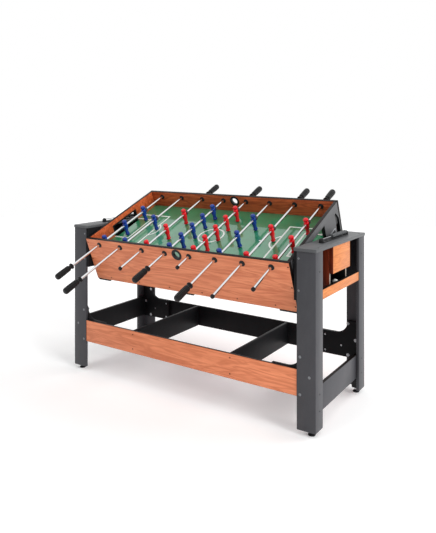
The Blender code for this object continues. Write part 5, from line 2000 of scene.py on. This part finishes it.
@dataclass
class Scorers:
    """The two bead scorers on the caps, and the ball in the right tray."""

    pedestals: Pedestals
    length: float = 0.330
    width: float = 0.024
    base: float = 0.005
    base_ease: float = 0.0010
    end_steps: int = 8
    rear_shift: float = 0.031
    post_radius: float = 0.011
    post_inset: float = 0.001
    post_height: float = 0.0217
    # A post's dome: radii as shares of its own, and heights
    dome_shares: Outline = (
        (1.0, 0.0120), (0.96, 0.0150), (0.84, 0.0180), (0.62, 0.0202), (0.34, 0.0213),
    )
    rod_radius: float = 0.002
    rod_height: float = 0.0155
    beads: int = 10
    bead_length: float = 0.017
    bead_radius: float = 0.0098
    rod_gap: float = 0.0006
    # Half the gap between two beads, and what the gap between the two groups of five adds
    bead_play: float = 0.0002
    group_play: float = 0.0008
    # A bead's shoulders and its two grooves, as distances in from its rim and along it
    shoulder: tuple[float, float, float] = (0.0026, 0.0007, 0.0012)
    groove_shares: tuple[float, float] = (0.36, 0.64)
    groove: Outline = ((0.0, -0.0012), (0.0010, -0.0004), (0.0010, 0.0004), (0.0, 0.0012))
    ball_radius: float = 0.017
    # A seam's width as a share of the ball's radius
    seam_share: float = 0.045

    @property
    def post_y(self) -> float:
        """From the middle of a scorer to its posts."""
        return self.length / 2 - self.post_radius - self.post_inset

    def carrier(self, body: str, end: End, up: float = 0.0) -> Carrier:
        """A body with a scorer's place on its cap, or a place above that.

        Args:
            body: the body.
            end: the scorer's end.
            up: how far above the cap.

        Returns:
            The body with its place.
        """
        x = end.value * (self.pedestals.panel_in + self.pedestals.leg_out) / 2
        place = Matrix.Translation((x, self.rear_shift, self.pedestals.cap_top + up))
        return Carrier(body, FRAME.place @ place)

    def frame(self, end: End) -> None:
        """The boat-shaped base with its two domed posts and chromed rod.

        Args:
            end: the end that it is at.
        """
        half, wide, post = self.length / 2, self.width / 2, self.post_radius
        outline = []
        for y, start in ((half - wide, 0.0), (wide - half, pi)):
            for step in range(self.end_steps + 1):
                angle = start + pi * step / self.end_steps
                outline.append((wide * cos(angle), y + wide * sin(angle)))
        form = Form().prism(outline, Axis.Z, FIT, self.base, self.base_ease)
        foot = self.base - SUNK
        dome = [(0, foot), (post, foot), *((post * share, z) for share, z in self.dome_shares)]
        for y in (-self.post_y, self.post_y):
            form.turned([*dome, (0, self.post_height)], 28, Axis.Z, (0, y, 0))
        at = (0, 0, self.rod_height)
        form.tube(self.rod_radius, -self.post_y, self.post_y, Axis.Y, at, steps=16, finish=1)
        name, carrier = f"scorer_frame_{end}", self.carrier(FRAME.body, end)
        form.settle(f"{name}_and_rod", carrier, "black_plastic", (BLACK_ABS, CHROME), name)

    def bead_stack(self, end: End) -> None:
        """Ten ribbed beads in two groups of five, pushed to the rear.

        Args:
            end: the end that they are at.
        """
        rear = self.post_y - self.post_radius - FIT
        bore, rim, (neck, brow, along) = self.rod_radius + self.rod_gap, self.bead_radius, self.shoulder
        form = Form()
        for k in range(self.beads):
            far = rear - k * self.bead_length - self.bead_play
            low = far - self.bead_length + 2 * self.bead_play
            low += self.group_play if k == self.beads // 2 - 1 else 0
            ends = mirrored([(bore, 0), (rim - neck, 0), (rim - brow, -along)], low, far)
            grooves = [
                (rim - depth, low + (far - low) * share + step)
                for share in self.groove_shares
                for depth, step in self.groove
            ]
            form.turned([*ends[:3], *grooves, *ends[3:]], 24, Axis.Y)
        name = f"scorer_beads_{end}"
        carrier = self.carrier(name, end, self.rod_height)
        form.settle(f"{name}_stack", carrier, "grey_plastic", (GREY_BEAD,), name)

    def football(self) -> None:
        """The ball: a smooth sphere, its faces laid out as a football's panels and seams."""
        part = bmesh.new()
        bmesh.ops.create_icosphere(part, subdivisions=1, radius=1.0)
        bevel(part, part.verts[:], part.edges[:][0].calc_length() / 3, 1, "VERTICES")
        bmesh.ops.subdivide_edges(part, edges=part.edges[:], cuts=1, use_grid_fill=True)
        inset = {"thickness": self.seam_share, "depth": 0.0, "use_even_offset": True}
        rims = bmesh.ops.inset_individual(part, faces=part.faces[:], **inset)["faces"]
        seams = {face.index for face in rims}
        bmesh.ops.poke(part, faces=[face for face in part.faces if face.index not in seams])
        bmesh.ops.subdivide_edges(part, edges=part.edges[:], cuts=2, use_grid_fill=True)
        for vert in part.verts:
            vert.co = vert.co.normalized() * self.ball_radius
        for face in part.faces:
            face.smooth = True
        pedestals = self.pedestals
        wall = pedestals.leg_out - pedestals.end_inset - pedestals.board
        at = (wall - FIT - self.ball_radius, 0, pedestals.tray_top + FIT + self.ball_radius)
        carrier = Carrier("football", FRAME.place @ Matrix.Translation(at))
        Form().take(part).settle("football_moulding", carrier, "white_plastic", (BALL_WHITE,), "football")

    def build(self) -> None:
        """Builds both scorers and the ball."""
        for end in End:
            self.frame(end)
            self.bead_stack(end)
        self.football()


# Studio


@dataclass
class Studio:
    """Floor, soft lights and the camera at the photograph's angle."""

    # Measured from the pivots' line in depth
    camera_place: tuple[float, float, float] = (1.7134, -2.6112, 1.2271)
    camera_turn: float = 34.584
    lens_mm: float = 39.58
    sensor_mm: float = 36.0
    shift: tuple[float, float] = (0.036, -0.222)
    sight: float = 50.0
    floor_size: float = 14.0
    floor_glow: float = 0.16
    world_light: float = 0.45

    def floor(self) -> None:
        """A pale plain floor."""
        part = bmesh.new()
        bmesh.ops.create_grid(part, x_segments=1, y_segments=1, size=self.floor_size / 2)
        mesh = bpy.data.meshes.new("studio_floor")
        part.to_mesh(mesh)
        part.free()
        # Matt white paper, lit a little from beneath, so that it meets the white wall unseen
        paper = bpy.data.materials.new("studio_paper")
        paper.use_nodes = True
        look = {"Base Color": linear("#f7f7f7"), "Roughness": 0.9}
        look |= {"Emission Color": linear("#ffffff"), "Emission Strength": self.floor_glow}
        fill(paper.node_tree.nodes["Principled BSDF"], look)
        mesh.materials.append(paper)
        floor = bpy.data.objects.new("studio_floor", mesh)
        bpy.context.scene.collection.objects.link(floor)

    def sun(
        self, name: str, way: Point, softness: float, strength: float, glint: bool = False
    ) -> None:
        """Adds a soft light that falls the same way everywhere.

        Args:
            name: the light's name.
            way: the direction that it comes from.
            softness: the angle that it fills, in degrees.
            strength: its power per area.
            glint: whether shiny pieces mirror it.
        """
        light = bpy.data.lights.new(name, "SUN")
        light.angle = radians(softness)
        light.energy = strength
        lamp = bpy.data.objects.new(name, light)
        bpy.context.scene.collection.objects.link(lamp)
        lamp.rotation_euler = Vector(way).to_track_quat("Z", "Y").to_euler()
        lamp.visible_glossy = glint

    def world(self) -> None:
        """White surroundings, dimmer as a light than as they look."""
        world = bpy.data.worlds.new("studio")
        bpy.context.scene.world = world
        world.use_nodes = True
        tree, white = world.node_tree, linear("#ffffff")
        ground = tree.nodes["Background"]
        fill(ground, {"Color": white, "Strength": self.world_light})
        seen = add_node(tree, "ShaderNodeBackground", {"Color": white, "Strength": 1.0})
        ray = add_node(tree, "ShaderNodeLightPath").outputs
        rays = {0: ray["Is Camera Ray"], 1: ray["Is Glossy Ray"]}
        direct = add_node(tree, "ShaderNodeMath", links=rays, operation="MAXIMUM")
        lights = {1: ground.outputs["Background"], 2: seen.outputs["Background"]}
        mix = add_node(tree, "ShaderNodeMixShader", links={0: direct.outputs["Value"], **lights})
        tree.links.new(mix.outputs["Shader"], tree.nodes["World Output"].inputs["Surface"])

    def camera(self) -> None:
        """The camera, level as the photograph's was, with its frame shifted down."""
        data = bpy.data.cameras.new("camera")
        data.lens = self.lens_mm
        data.sensor_width = self.sensor_mm
        data.shift_x, data.shift_y = self.shift
        data.clip_end = self.sight
        camera = bpy.data.objects.new("camera", data)
        bpy.context.scene.collection.objects.link(camera)
        camera.location = FRAME.place @ Vector(self.camera_place)
        camera.rotation_euler = (pi / 2, 0, radians(self.camera_turn))
        bpy.context.scene.camera = camera

    def build(self) -> None:
        """Sets up the studio."""
        self.floor()
        self.sun("key", (0.95, -0.2, 0.4), 25.0, 1.8)
        self.sun("rim", (0.65, 0.7, 0.35), 50.0, 1.9)
        self.sun("fill", (-0.3, -0.75, 0.59), 50.0, 0.36)
        self.sun("glint", (-0.2, -0.6, 0.77), 9.0, 0.10, glint=True)
        self.sun("top", (0.1, -0.1, 1.0), 40.0, 0.5)
        self.world()
        self.camera()
        bpy.context.scene.view_settings.view_transform = "Standard"


def main() -> None:
    """Builds the table's pieces and the studio, in order."""
    logging.basicConfig(level=logging.INFO, format="%(name)s: %(message)s")
    shell = Shell()
    shell.build()
    PoolSide(shell).build()
    figure = Figure()
    for number, (team, men) in enumerate(LINE_UP, start=1):
        Rod(number, team, men, shell, figure).build()
    pedestals = Pedestals(shell)
    pedestals.build()
    Scorers(pedestals).build()
    Studio().build()


if __name__ == "__main__":
    main()
